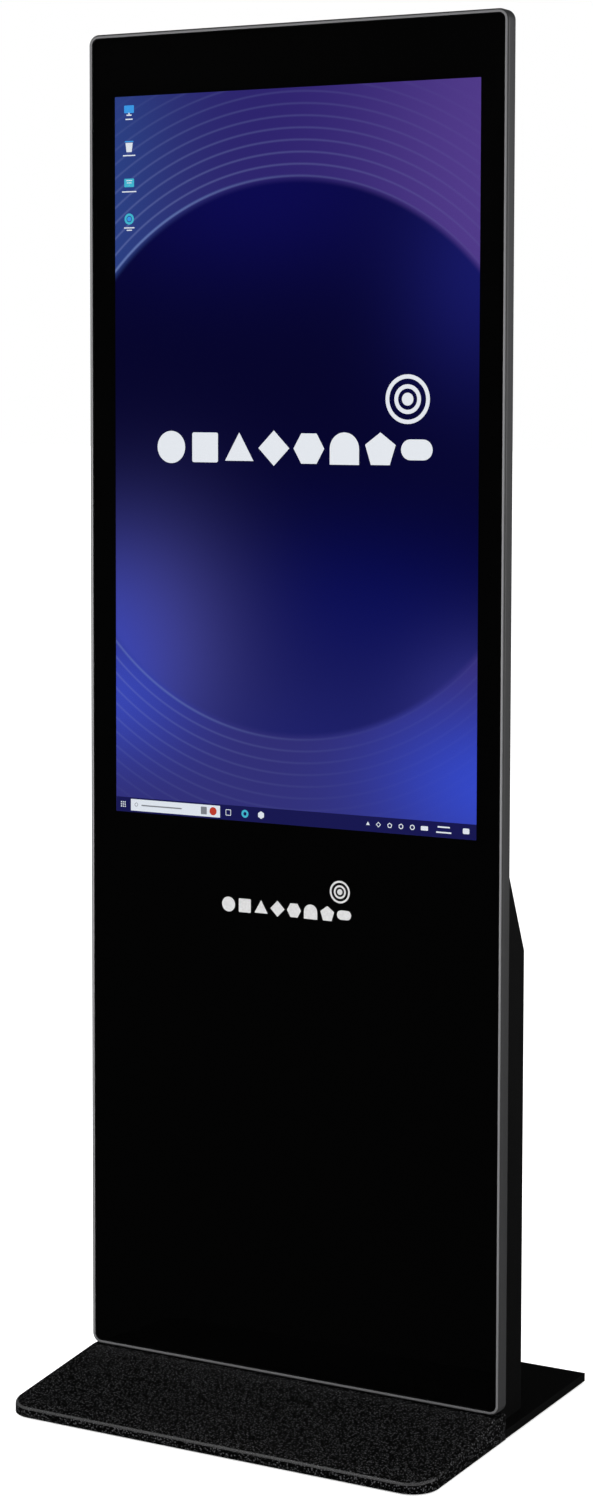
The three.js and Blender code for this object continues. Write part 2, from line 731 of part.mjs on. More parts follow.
// A collar on the rear face with a sleeve through it and a bore down its middle
function collared(x, z, boreR, sleeveFront, boreFront) {
  const collar = rodY(COLLAR_R, x, z, ON_REAR, ON_REAR + COLLAR_H, 28);
  const sleeve = rodY(SLEEVE_R, x, z, sleeveFront, ON_REAR + PAST, 24);
  return collar.add(sleeve).subtract(rodY(boreR, x, z, boreFront, ON_REAR + COLLAR_H + PAST, 24));
}

function lockHousing() {
  return collared(LOCK_X, LOCK_Z, BARREL_R + 0.1, LOCK_BACK, LOCK_BACK - PAST);
}

function lockBarrel() {
  const face = ON_REAR + COLLAR_H + 0.5;
  const nutBack = CAM_FRONT - CAM_THICK - GAP;
  const plug = rodY(BARREL_R, LOCK_X, LOCK_Z, LOCK_BACK - 1.5, face, 20);
  const tail = rodY(TAIL_R, LOCK_X, LOCK_Z, nutBack - PAST, LOCK_BACK, 16);
  const nut = rodY(BARREL_R, LOCK_X, LOCK_Z, nutBack - NUT_H, nutBack, 6);
  const keyway = box(
    LOCK_X - KEYWAY_W / 2,
    LOCK_X + KEYWAY_W / 2,
    face - KEYWAY_DEPTH,
    face + PAST,
    LOCK_Z - KEYWAY_H / 2,
    LOCK_Z + KEYWAY_H / 2,
  );
  return joined([plug, tail, nut]).subtract(keyway);
}

// The cam hangs straight down while the door is unlocked
function lockCam() {
  const y0 = CAM_FRONT - CAM_THICK;
  const outline = roundedRect(LOCK_X, LOCK_Z - CAM_DROP, CAM_W, CAM_H, CAM_W / 2 - SLOT_FLAT, 4);
  const hole = rodY(TAIL_R + GAP, LOCK_X, LOCK_Z, y0 - PAST, CAM_FRONT + PAST, 16);
  return prismY(outline, y0, CAM_FRONT - GAP).subtract(hole);
}

// ---- Fans and speakers --------------------------------------------------------------------
const FAN_BACK = REAR_IN - GAP;
const FAN_FRONT = FAN_BACK - FAN_DEPTH;

function fanHousing(x) {
  const half = FAN_SIZE / 2;
  const strutBack = FAN_FRONT + FAN_STRUT_DEPTH;
  const strut = FAN_STRUT / 2;
  const shroud = prismY(roundedRect(x, VENT_Z, FAN_SIZE, FAN_SIZE, 5, 3), FAN_FRONT, FAN_BACK);
  const bore = rodY(FAN_BORE_R, x, VENT_Z, FAN_FRONT - PAST, FAN_BACK + PAST, 36);
  const hub = rodY(FAN_HUB_R, x, VENT_Z, FAN_FRONT, strutBack, 20);
  const struts = [
    box(x - half + 1, x + half - 1, FAN_FRONT, strutBack, VENT_Z - strut, VENT_Z + strut),
    box(x - strut, x + strut, FAN_FRONT, strutBack, VENT_Z - half + 1, VENT_Z + half - 1),
  ];
  const axleHole = rodY(FAN_AXLE_R + GAP, x, VENT_Z, FAN_FRONT - PAST, strutBack + PAST, 12);
  const holes = [-1, 1].flatMap((u) =>
    [-1, 1].map((v) => {
      const [cx, cz] = [x + u * FAN_SCREW_REACH, VENT_Z + v * FAN_SCREW_REACH];
      return rodY(FAN_SCREW_R, cx, cz, FAN_FRONT - PAST, FAN_BACK + PAST, 8);
    }),
  );
  return cutBy(joined([shroud.subtract(bore), hub, ...struts]), [axleHole, ...holes]);
}

function fanRotor(x) {
  const y0 = FAN_FRONT + FAN_STRUT_DEPTH + 1;
  const y1 = FAN_BACK - 3;
  const axle = rodY(FAN_AXLE_R, x, VENT_Z, FAN_FRONT + 0.8, y0 + PAST, 12);
  const parts = [rodY(FAN_HUB_R, x, VENT_Z, y0, y1, 24), axle];
  const reach = FAN_BORE_R - 1.3;
  const root = FAN_HUB_R - 2.5;
  for (let i = 0; i < FAN_BLADES; i += 1) {
    const blade = new THREE.BoxGeometry(reach - root, 1.6, 17);
    blade.rotateX(THREE.MathUtils.degToRad(FAN_BLADE_PITCH));
    blade.translate((reach + root) / 2, 0, 0);
    blade.rotateY((i / FAN_BLADES) * 2 * Math.PI);
    blade.translate(x, (y0 + y1) / 2, VENT_Z);
    parts.push(solid(blade));
  }
  return joined(parts);
}

// Basket, cone and dust cap turned as one: each point is a radius and a distance behind the face
function speaker(x) {
  const face = REAR_IN - GAP;
  const profile = [
    [0, 9],
    [9, 10.5],
    [24, 2.5],
    [27, 1],
    [30, 2],
    [33, 0],
    [33, 4],
    [20, 20],
    [20, 32],
    [0, 32],
  ];
  const points = profile.map(([r, behind]) => new THREE.Vector2(r, face - behind));
  const geometry = new THREE.LatheGeometry(points.reverse(), 24);
  geometry.translate(x, 0, VENT_Z);
  return solid(geometry);
}

// ---- Electronics --------------------------------------------------------------------------
const TRAY_FRONT = at(UPRIGHT_BACK) + GAP;
const TRAY_SHEET = 1.5;
const TRAY_BACK = TRAY_FRONT + TRAY_SHEET;
const TRAY_BOTTOM = 120;
const TRAY_TOP = 450;
const SHELF_Z = 230;
const SHELF_HALF_W = 150;
const SHELF_BACK_Y = 53;

// Plate across the uprights with a shelf for the computer
function pcTray() {
  const half = UPRIGHT_X + 10;
  const plate = box(-half, half, TRAY_FRONT, TRAY_BACK, TRAY_BOTTOM, TRAY_TOP);
  const shelf = box(-SHELF_HALF_W, SHELF_HALF_W, TRAY_FRONT, SHELF_BACK_Y, SHELF_Z - TRAY_SHEET, SHELF_Z);
  return plate.add(shelf);
}

const PC_W = 190;
const PC_H = 150;
const PC_D = 38;
const PC_FINS = 8; // grooves to either side of the middle one
const PC_FIN_PITCH = 10;
const PC_GROOVE_W = 5;
const PC_GROOVE_DEPTH = 6;
const PC_GROOVE_INSET = 20;

function miniPc() {
  const y0 = TRAY_BACK + GAP + 1;
  const y1 = y0 + PC_D;
  const bottom = SHELF_Z + GAP;
  const body = prismY(roundedRect(0, bottom + PC_H / 2, PC_W, PC_H, 6, 3), y0, y1);
  const grooves = [];
  for (let i = -PC_FINS; i <= PC_FINS; i += 1) {
    const x0 = i * PC_FIN_PITCH - PC_GROOVE_W / 2;
    const z0 = bottom + PC_GROOVE_INSET;
    grooves.push(box(x0, x0 + PC_GROOVE_W, y1 - PC_GROOVE_DEPTH, y1 + PAST, z0, bottom + PC_H + PAST));
  }
  return cutBy(body, grooves);
}

const SUPPLY_LEFT = -140;
const SUPPLY_RIGHT = 20;
const SUPPLY_BOTTOM = 128;
const SUPPLY_TOP = 222;
const SUPPLY_D = 38;
const TERMINALS_W = 10;
const TERMINALS_INSET = 12;
const TERMINALS_D = 17;
const SUPPLY_VENTS = 5;
const SUPPLY_VENT_PITCH = 20;

function powerSupply() {
  const y0 = TRAY_BACK + GAP;
  const y1 = y0 + SUPPLY_D;
  const body = box(SUPPLY_LEFT, SUPPLY_RIGHT, y0, y1, SUPPLY_BOTTOM, SUPPLY_TOP);
  const terminals = box(
    SUPPLY_LEFT - TERMINALS_W,
    SUPPLY_LEFT + PAST,
    y0 + 3,
    y0 + 3 + TERMINALS_D,
    SUPPLY_BOTTOM + TERMINALS_INSET,
    SUPPLY_TOP - TERMINALS_INSET,
  );
  const middle = (SUPPLY_BOTTOM + SUPPLY_TOP) / 2;
  const vents = [];
  for (let i = 0; i < SUPPLY_VENTS; i += 1) {
    const x = SUPPLY_LEFT + 40 + i * SUPPLY_VENT_PITCH;
    vents.push(slotY(x, middle, 60, 6, y1 - 4, y1 + PAST, true));
  }
  return cutBy(body.add(terminals), vents);
}

const BOARD_THICK = 1.6;
const BOARD_STANDOFF = 3;
const POST_R = 3;
const POST_INSET = 6;

// A board on four posts behind the display. Each chip is [x, z, width, height, thickness].
function circuitBoard(x, z, width, height, chips) {
  const y0 = at(CHASSIS_BACK) + BOARD_STANDOFF;
  const y1 = y0 + BOARD_THICK;
  const board = box(x - width / 2, x + width / 2, y0, y1, z - height / 2, z + height / 2);
  const posts = [-1, 1].flatMap((u) =>
    [-1, 1].map((v) => {
      const px = x + u * (width / 2 - POST_INSET);
      const pz = z + v * (height / 2 - POST_INSET);
      return rodY(POST_R, px, pz, at(CHASSIS_BACK) + GAP, y0 + BOARD_THICK / 2, 10);
    }),
  );
  const blocks = chips.map(([cx, cz, w, h, thick]) =>
    box(x + cx - w / 2, x + cx + w / 2, y0 + BOARD_THICK / 2, y1 + thick, z + cz - h / 2, z + cz + h / 2),
  );
  return joined([board, ...posts, ...blocks]);
}

// ---- Connection row -----------------------------------------------------------------------
const IEC_X = INLET_X - 20;
const ROCKER_X = INLET_X + 8;
const FUSE_X = INLET_X + 26;
const ROCKER_Y = REAR_Y - 2.5;
const INLET_FACE = ON_REAR + 2;
const IEC_HALF_W = 12.3;
const IEC_HALF_H = 8.5;
const IEC_CHAMFER = 5;
const IEC_PINS = [
  [-7, -1.5],
  [0, 2.5],
  [7, -1.5],
];
const SEAT_HALF_W = 7.2;
const SEAT_HALF_H = 10.5;
const SEAT_FLOOR_Y = REAR_Y - 10;
const DRAWER_HALF_W = 5.2;
const DRAWER_HALF_H = 10.2;
const DRAWER_FRONT_Y = REAR_Y - 21;
const DRAWER_CLEARANCE = 0.4;
const BODY_FRONT_Y = REAR_Y - 16;

// A block behind the connection row, centred on a place along it
function rowBlock(x, halfW, halfH, y0, y1, dz = 0) {
  return box(x - halfW, x + halfW, y0, y1, CONNECT_Z + dz - halfH, CONNECT_Z + dz + halfH);
}

// Mains inlet module: a three-pin socket, a seat for the rocker and a slot for the fuse drawer
function inletModule() {
  const mouth = INLET_FACE + PAST;
  const flange = prismY(roundedRect(INLET_X, CONNECT_Z, 80, 32, 3, 3), ON_REAR, INLET_FACE);
  const body = rowBlock(INLET_X, INLET_BODY_HALF_W, INLET_BODY_HALF_H, INLET_FRONT_Y, INLET_FACE - PAST);
  const socket = prismY(
    [
      [IEC_X - IEC_HALF_W, CONNECT_Z - IEC_HALF_H],
      [IEC_X + IEC_HALF_W, CONNECT_Z - IEC_HALF_H],
      [IEC_X + IEC_HALF_W, CONNECT_Z + IEC_HALF_H - IEC_CHAMFER],
      [IEC_X + IEC_HALF_W - IEC_CHAMFER, CONNECT_Z + IEC_HALF_H],
      [IEC_X - IEC_HALF_W + IEC_CHAMFER, CONNECT_Z + IEC_HALF_H],
      [IEC_X - IEC_HALF_W, CONNECT_Z + IEC_HALF_H - IEC_CHAMFER],
    ],
    SOCKET_FLOOR_Y,
    mouth,
  );
  const rockerSeat = rowBlock(ROCKER_X, SEAT_HALF_W, SEAT_HALF_H, SEAT_FLOOR_Y, mouth);
  const slotHalfW = DRAWER_HALF_W + DRAWER_CLEARANCE;
  const slotHalfH = DRAWER_HALF_H + DRAWER_CLEARANCE;
  const fuseSlot = rowBlock(FUSE_X, slotHalfW, slotHalfH, DRAWER_FRONT_Y - 1, mouth);
  const hollow = flange.add(body).subtract(socket).subtract(rockerSeat).subtract(fuseSlot);
  const [pinFront, pinBack] = [SOCKET_FLOOR_Y - 2, SOCKET_FLOOR_Y + 11];
  const pins = IEC_PINS.map(([dx, dz]) => rowBlock(IEC_X + dx, 1, 2, pinFront, pinBack, dz));
  return joined([hollow, ...pins]);
}

// The rocker rests tipped to its off side
const ROCKER_TILT = -10;
const ROCKER_HALF_W = 6.8;

function powerRocker() {
  const outline = [
    [4.2, -9.6],
    [2, 0],
    [4.2, 9.6],
    [-0.5, 9],
    [-4.5, 4],
    [-4.5, -4],
    [-0.5, -9],
  ];
  const tilt = THREE.MathUtils.degToRad(ROCKER_TILT);
  const turned = outline.map(([y, z]) => [
    ROCKER_Y + y * Math.cos(tilt) - z * Math.sin(tilt),
    CONNECT_Z + y * Math.sin(tilt) + z * Math.cos(tilt),
  ]);
  return prismX(turned.reverse(), ROCKER_X - ROCKER_HALF_W, ROCKER_X + ROCKER_HALF_W);
}

// The drawer has a finger grip in its face and a bay for the fuse, open to its right
function fuseDrawer() {
  const body = rowBlock(FUSE_X, DRAWER_HALF_W, DRAWER_HALF_H, DRAWER_FRONT_Y, INLET_FACE + 1.2);
  const grip = rowBlock(FUSE_X, 3.5, 1.5, INLET_FACE - 1, INLET_FACE + 2, -7.5);
  const fuseBay = rowBlock(FUSE_X + 1.5, 4.5, 3.2, DRAWER_FRONT_Y + 3, DRAWER_FRONT_Y + 17);
  return body.subtract(grip).subtract(fuseBay);
}

const BEZEL_FRONT_Y = REAR_Y - 18;
const BEZEL_FLOOR_Y = REAR_Y - 12;
const BUTTON_R = 6.1;

function buttonBezel() {
  return collared(BUTTON_X, CONNECT_Z, BUTTON_R + GAP, BEZEL_FRONT_Y, BEZEL_FLOOR_Y);
}

// The push button: each point is a radius and a distance behind the crown of its face
function powerButton() {
  const crown = REAR_Y + 4.7;
  const profile = [
    [0, 13.7],
    [BUTTON_R, 13.7],
    [BUTTON_R, 1.5],
    [BUTTON_R - 0.9, 0.6],
    [BUTTON_R / 2, 0.1],
    [0, 0],
  ];
  const geometry = new THREE.LatheGeometry(profile.map(([r, d]) => new THREE.Vector2(r, crown - d)), 24);
  geometry.translate(BUTTON_X, 0, CONNECT_Z);
  return solid(geometry);
}

// Sockets in the port panel: [x, z, width, height] from its middle
const SOCKETS = [
  [-24, 4.6, 14, 6.4],
  [-24, -4.6, 14, 6.4],
  [2, 0, 14, 12],
  [25, 0, 16, 6.4],
];

function portPanel() {
  const flange = prismY(roundedRect(PORTS_X, CONNECT_Z, 90, 28, 3, 3), ON_REAR, ON_REAR + 1.5);
  const body = rowBlock(PORTS_X, PORTS_BODY_HALF_W, PORTS_BODY_HALF_H, BODY_FRONT_Y, ON_REAR + PAST);
  const [floor, mouth] = [BODY_FRONT_Y + 4, REAR_Y + 5];
  const holes = SOCKETS.map(([dx, dz, w, h]) => rowBlock(PORTS_X + dx, w / 2, h / 2, floor, mouth, dz));
  return cutBy(flange.add(body), holes);
}

// ---- Leads --------------------------------------------------------------------------------
const LEAD_SIDES = 8;

function lead(route, radius, steps) {
  const circle = [];
  for (let i = 0; i < LEAD_SIDES; i += 1) {
    const angle = (i / LEAD_SIDES) * 2 * Math.PI;
    circle.push(new THREE.Vector2(radius * Math.cos(angle), radius * Math.sin(angle)));
  }
  const path = new THREE.CatmullRomCurve3(route.map((p) => new THREE.Vector3(...p)), false, 'centripetal');
  const section = new THREE.Shape(circle);
  return solid(new THREE.ExtrudeGeometry(section, { extrudePath: path, steps, bevelEnabled: false }));
}

// ---- The assembly -------------------------------------------------------------------------
place('base_plate', basePlate(), 'powderCoat');
place('base_ramp_cover', baseRampCover(), 'powderCoat');
[
  [-PAD_X, PAD_FRONT_Y],
  [PAD_X, PAD_FRONT_Y],
  [-PAD_X, PAD_REAR_Y],
  [PAD_X, PAD_REAR_Y],
].forEach(([x, y], i) => place(`floor_pad_${i + 1}`, floorPad(x, y), 'rubber'));
place('upright_left', upright(-1), 'zinc');
place('upright_right', upright(1), 'zinc');
boltPlaces().forEach((spot, i) => place(`upright_bolt_${i + 1}`, uprightBolt(spot), 'zinc'));
place('crossbar_lower', crossbar(CROSSBAR_Z.lower), 'zinc');
place('crossbar_upper', crossbar(CROSSBAR_Z.upper), 'zinc');

place('front_frame', frontFrame(), 'anodised');
place('front_glass', frontGlass(), 'blackGlass');
place('bezel_mask', bezelMask(), 'blackPrint');
place('glass_seal', glassSeal(), 'tape');
place('lcd_panel', lcdPanel(), 'screen');
place('light_guide', lightGuide(), 'paper');
place('lcd_chassis', lcdChassis(), 'zinc');
BRACKET_Z.flatMap((z) => [-1, 1].map((side) => [side, z])).forEach(([side, z], i) => {
  place(`lcd_bracket_${i + 1}`, lcdBracket(side, z), 'zinc');
});

place('upper_cover', upperCover(), 'powderCoat');
place('cabinet_shell', cabinetShell(), 'powderCoat');
place('service_door', serviceDoor(), 'powderCoat');
['lower', 'upper'].forEach((name, i) => {
  place(`hinge_fixed_leaf_${name}`, hingeLeaf(HINGE_Z[i], false), 'powderCoat');
  place(`hinge_door_leaf_${name}`, hingeLeaf(HINGE_Z[i], true), 'powderCoat');
  place(`hinge_pin_${name}`, hingePin(HINGE_Z[i]), 'chrome');
});
place('lock_housing', lockHousing(), 'chrome');
place('lock_barrel', lockBarrel(), 'chrome');
place('lock_cam', lockCam(), 'zinc');

['left', 'right'].forEach((name, i) => {
  const side = i === 0 ? -1 : 1;
  place(`fan_housing_${name}`, fanHousing(side * FAN_X), 'plastic');
  place(`fan_rotor_${name}`, fanRotor(side * FAN_X), 'plastic');
  place(`speaker_${name}`, speaker(side * SPEAKER_X), 'paper');
});

place('pc_tray', pcTray(), 'zinc');
place('mini_pc', miniPc(), 'plastic');
place('power_supply', powerSupply(), 'zinc');
const driverChips = [
  [-40, 10, 30, 30, 8],
  [30, -20, 20, 20, 3],
  [50, 35, 40, 10, 6],
];
const touchChips = [[0, 0, 14, 14, 2]];
place('driver_board', circuitBoard(0, 1180, 170, 120, driverChips), 'board');
place('touch_controller', circuitBoard(90, 860, 70, 36, touchChips), 'board');

place('inlet_module', inletModule(), 'plastic');
place('power_rocker', powerRocker(), 'plastic');
place('fuse_drawer', fuseDrawer(), 'plastic');
place('power_button_bezel', buttonBezel(), 'chrome');
place('power_button', powerButton(), 'plastic');
place('port_panel', portPanel(), 'plastic');

const mainsRoute = [
  [IEC_X, INLET_FRONT_Y - 0.4, CONNECT_Z],
  [IEC_X, 30, CONNECT_Z],
  [IEC_X - 12, 26, CONNECT_Z + 8],
  [20, 26, 78],
  [-22, 28, 92],
  [-30, 29, 112],
  [-30, 29, 127.5],
];
place('mains_lead', lead(mainsRoute, 3.5, 20), 'rubber');
const videoRoute = [
  [60, at(30), 1119.5],
  [60, at(30), 1080],
  [60, at(32), 900],
  [62, at(34), 740],
  [70, 30, 650],
  [70, 34, 520],
  [60, 33, 430],
  [60, 32, 381],
];
place('video_lead', lead(videoRoute, 3, 30), 'rubber');

export default kiosk;
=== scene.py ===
"""Looks of the free-standing touchscreen kiosk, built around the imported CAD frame.

Everything is in metres, in the CAD's own frame: +Z up, the glass faces -Y, the origin is on the floor
in the middle of the base.
"""

import json
import math

import bmesh
import bpy
from mathutils import Matrix, Vector


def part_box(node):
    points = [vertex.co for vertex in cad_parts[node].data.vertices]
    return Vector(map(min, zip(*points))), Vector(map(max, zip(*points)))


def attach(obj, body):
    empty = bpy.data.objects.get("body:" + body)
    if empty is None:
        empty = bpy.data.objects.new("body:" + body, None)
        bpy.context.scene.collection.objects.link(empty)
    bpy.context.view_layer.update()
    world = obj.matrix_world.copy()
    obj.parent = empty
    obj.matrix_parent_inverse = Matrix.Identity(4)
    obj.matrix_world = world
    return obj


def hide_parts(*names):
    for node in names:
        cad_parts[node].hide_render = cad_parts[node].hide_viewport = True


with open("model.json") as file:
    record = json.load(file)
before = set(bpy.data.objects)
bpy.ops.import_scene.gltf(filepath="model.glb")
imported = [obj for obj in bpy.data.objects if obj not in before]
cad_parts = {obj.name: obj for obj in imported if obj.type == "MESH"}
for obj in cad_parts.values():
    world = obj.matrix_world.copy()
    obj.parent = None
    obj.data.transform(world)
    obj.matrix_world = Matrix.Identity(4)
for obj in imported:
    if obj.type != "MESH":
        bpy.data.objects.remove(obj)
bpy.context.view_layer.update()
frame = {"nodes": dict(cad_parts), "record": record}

NODES = frame["nodes"]
MM = 0.001
BLACK = (0.0, 0.0, 0.0)

# ---- Places, all read from the frame ----
PANEL_LOW, PANEL_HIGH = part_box("front_frame")
GLASS_LOW, GLASS_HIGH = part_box("front_glass")
LCD_LOW, LCD_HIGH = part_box("lcd_panel")
RAMP_LOW, RAMP_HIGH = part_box("base_ramp_cover")
PLATE_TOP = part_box("base_plate")[1].z
COVER_LOW, COVER_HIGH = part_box("upper_cover")
CABINET_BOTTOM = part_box("cabinet_shell")[0].z
REAR_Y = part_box("service_door")[1].y
PORTS_LOW, PORTS_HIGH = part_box("port_panel")
SOCKET_ROW_Z = (PORTS_LOW.z + PORTS_HIGH.z) / 2
PANEL_MID_Z = (PANEL_LOW.z + PANEL_HIGH.z) / 2
PANEL_W = PANEL_HIGH.x - PANEL_LOW.x
PANEL_H = PANEL_HIGH.z - PANEL_LOW.z

# The lit area is the panel less its 2 mm hidden rim
LCD_RIM = 2 * MM
SCREEN_W = LCD_HIGH.x - LCD_LOW.x - 2 * LCD_RIM
SCREEN_H = LCD_HIGH.z - LCD_LOW.z - 2 * LCD_RIM
SCREEN_LOW_Z = LCD_LOW.z + LCD_RIM
SCREEN_MID_Z = SCREEN_LOW_Z + SCREEN_H / 2


# ---- Node helpers ----
class Shader:
    """A material under construction: one Principled shader and the nodes that feed it."""

    def __init__(self, name, color=(0.5, 0.5, 0.5), rough=0.5, metal=0.0, **sockets):
        self.mat = bpy.data.materials.new(name)
        self.mat.use_nodes = True
        self.tree = self.mat.node_tree
        self.bsdf = next(n for n in self.tree.nodes if n.type == "BSDF_PRINCIPLED")
        self.set("Base Color", (*color, 1))
        self.set("Roughness", rough)
        self.set("Metallic", metal)
        for socket, value in sockets.items():
            self.set(socket.replace("_", " "), value)
        self.coords = self.tree.nodes.new("ShaderNodeTexCoord").outputs["Object"]

    def set(self, socket, value):
        self.bsdf.inputs[socket].default_value = value

    def feed(self, socket, value):
        """Links a socket to another node's output, or sets it to a plain value."""
        if isinstance(value, bpy.types.NodeSocket):
            self.tree.links.new(value, socket)
        else:
            socket.default_value = value

    def node(self, kind, **inputs):
        n = self.tree.nodes.new("ShaderNode" + kind)
        for key, value in inputs.items():
            self.feed(n.inputs[key.replace("_", " ")], value)
        return n

    def link(self, output, socket):
        self.tree.links.new(output, self.bsdf.inputs[socket])

    def math(self, operation, a, b=None, c=None, clamp=False):
        n = self.tree.nodes.new("ShaderNodeMath")
        n.operation = operation
        n.use_clamp = clamp
        for socket, value in zip(n.inputs, (a, b, c)):
            if value is not None:
                self.feed(socket, value)
        return n.outputs[0]

    def stretched(self, scale):
        """Object coordinates, stretched by a different amount along each axis."""
        return self.node("Mapping", Vector=self.coords, Scale=scale).outputs["Vector"]

    def noise(self, scale, detail=2.0, rough=0.5, coords=None):
        n = self.node("TexNoise", Vector=coords or self.coords, Scale=scale, Detail=detail, Roughness=rough)
        return n.outputs[0]

    def cells(self, scale):
        return self.node("TexVoronoi", Vector=self.coords, Scale=scale).outputs["Distance"]

    def ramp(self, factor, stops):
        n = self.tree.nodes.new("ShaderNodeValToRGB")
        self.tree.links.new(factor, n.inputs["Fac"])
        elements = n.color_ramp.elements
        while len(elements) < len(stops):
            elements.new(0.5)
        for element, (at, color) in zip(elements, stops):
            element.position = at
            element.color = (*color, 1)
        return n.outputs["Color"]

    def between(self, factor, low, high):
        """A number that follows factor, 0 to 1, from low to high."""
        return self.node("MapRange", Value=factor, To_Min=low, To_Max=high).outputs[0]

    def mix(self, factor, a, b):
        n = self.tree.nodes.new("ShaderNodeMix")
        n.data_type = "RGBA"
        for i, value in ((0, factor), (6, a), (7, b)):
            self.feed(n.inputs[i], (*value, 1) if isinstance(value, tuple) else value)
        return n.outputs[2]

    def bump(self, height, strength, distance):
        n = self.node("Bump", Height=height, Strength=strength, Distance=distance)
        self.link(n.outputs[0], "Normal")


# ---- Materials ----
def powder_coat(name, dark, light, rough, depth, fineness=1.0):
    """Black textured powder coat: its grain is two or three millimetres across, over fineness."""
    s = Shader(name, rough=rough, Specular_IOR_Level=0.16)
    pebbles = s.math("SUBTRACT", 1.0, s.cells(340 * fineness))
    sand = s.noise(420 * fineness, detail=1, rough=0.5)
    grain = s.math("ADD", s.math("MULTIPLY", pebbles, 0.55), s.math("MULTIPLY", sand, 0.45))
    cloud = s.noise(7, detail=3)
    s.bump(grain, 0.35, depth)
    middle = (dark + light) / 20
    crest = (light, light, light * 1.05)
    speck = s.ramp(grain, [(0.46, (dark,) * 3), (0.56, (middle,) * 3), (0.68, crest)])
    s.link(s.mix(s.between(cloud, 0.0, 0.15), speck, (middle,) * 3), "Base Color")
    s.link(s.between(grain, rough + 0.08, rough - 0.10), "Roughness")
    return s.mat


def anodised(name, low, high, rough):
    """Bead-blasted, anodised aluminium, faintly drawn along its length."""
    s = Shader(name, rough=rough, metal=0.7)
    fine = s.noise(2600, detail=2)
    drawn = s.noise(60, detail=3, coords=s.stretched((40, 40, 1)))
    s.bump(fine, 0.12, 0.05 * MM)
    s.link(s.mix(drawn, (low, low, low * 1.03), (high, high, high * 1.02)), "Base Color")
    s.link(s.between(fine, rough - 0.04, rough + 0.08), "Roughness")
    return s.mat


def led_by(name, pattern, colours, rough, metal=0.0, gloss=None, relief=None, **sockets):
    """A material that one pattern leads: its colours and, if given, its range of roughness and its relief."""
    s = Shader(name, rough=rough, metal=metal, **sockets)
    field = pattern(s)
    s.link(s.ramp(field, colours), "Base Color")
    if gloss:
        s.link(s.between(field, *gloss), "Roughness")
    if relief:
        s.bump(field, *relief)
    return s.mat


def zinc_steel():
    """Bright zinc plate on rolled steel: soft cloudy patches over a fine drawn grain."""
    s = Shader("zinc_steel", rough=0.4, metal=1.0)
    cloud = s.noise(35, detail=4, rough=0.6)
    drawn = s.noise(300, detail=2, coords=s.stretched((1, 1, 14)))
    s.link(s.ramp(cloud, [(0.3, (0.38, 0.39, 0.41)), (0.7, (0.56, 0.57, 0.58))]), "Base Color")
    s.link(s.between(cloud, 0.28, 0.5), "Roughness")
    s.bump(drawn, 0.1, 0.1 * MM)
    return s.mat


def moulded_plastic():
    """Black moulded plastic with a fine spark-eroded texture."""
    s = Shader("moulded_plastic", rough=0.5)
    spark = s.cells(2200)
    s.bump(spark, 0.25, 0.08 * MM)
    s.link(s.ramp(s.noise(30), [(0.3, (0.012, 0.012, 0.013)), (0.75, (0.020, 0.020, 0.022))]), "Base Color")
    s.link(s.between(spark, 0.40, 0.58), "Roughness")
    return s.mat


def circuit_board():
    """Green solder mask over copper: straight tracks and a scatter of vias."""
    s = Shader("circuit_board", rough=0.35)
    tracks = s.node("TexWave", Vector=s.coords, Scale=90.0, Distortion=0.0)
    tracks.bands_direction = "X"
    vias = s.cells(260)
    base = s.ramp(tracks.outputs["Fac"], [(0.45, (0.004, 0.045, 0.016)), (0.55, (0.012, 0.085, 0.030))])
    tinned = s.math("LESS_THAN", vias, 0.14)
    s.link(s.mix(tinned, base, (0.45, 0.42, 0.36)), "Base Color")
    s.bump(tracks.outputs["Fac"], 0.15, 0.05 * MM)
    return s.mat


def glowing(name, color):
    """A surface of one colour that gives off light: part of the screen's picture, or a lamp."""
    s = Shader(name, color=BLACK, rough=1.0, Specular_IOR_Level=0.0, Emission_Strength=1.0)
    s.set("Emission Color", (*color, 1))
    return s.mat


def painted(name, color, rough=0.5):
    darker = tuple(0.85 * c for c in color)
    return led_by(name, lambda s: s.noise(400), ((0.3, darker), (0.7, color)), rough)


DISC_RADIUS = 0.3595
RING_PITCH = 0.0152
# Each glow: centre and size, in half screen widths and heights from the middle, and its linear colour
FIELD_GLOWS = (
    ((0.15, 1.00), (1.50, 1.00), (0.027, 0.017, 0.165)),
    ((-1.15, 0.70), (0.50, 0.90), (0.027, 0.060, 0.260)),
    ((1.15, 0.75), (0.75, 1.00), (0.094, 0.049, 0.285)),
    ((0.00, -1.00), (1.60, 0.30), (0.035, 0.033, 0.205)),
    ((-1.05, -0.66), (0.50, 0.20), (0.045, 0.068, 0.50)),
    ((1.10, -0.86), (0.60, 0.22), (0.038, 0.070, 0.62)),
)
DISC_GLOWS = (
    ((-0.20, 0.75), (1.00, 0.26), (0.0032, 0.0026, 0.085)),
    ((1.05, 0.52), (0.45, 0.32), (0.0085, 0.0095, 0.140)),
    ((0.35, -0.44), (1.00, 0.27), (0.0014, 0.0026, 0.088)),
    ((0.10, -0.82), (1.20, 0.32), (0.0130, 0.0150, 0.155)),
    ((-0.85, -0.52), (0.55, 0.34), (0.0520, 0.0500, 0.240)),
    ((-1.15, -0.62), (0.45, 0.30), (0.0500, 0.0700, 0.520)),
    ((1.10, -0.72), (0.42, 0.22), (0.0400, 0.0420, 0.300)),
)


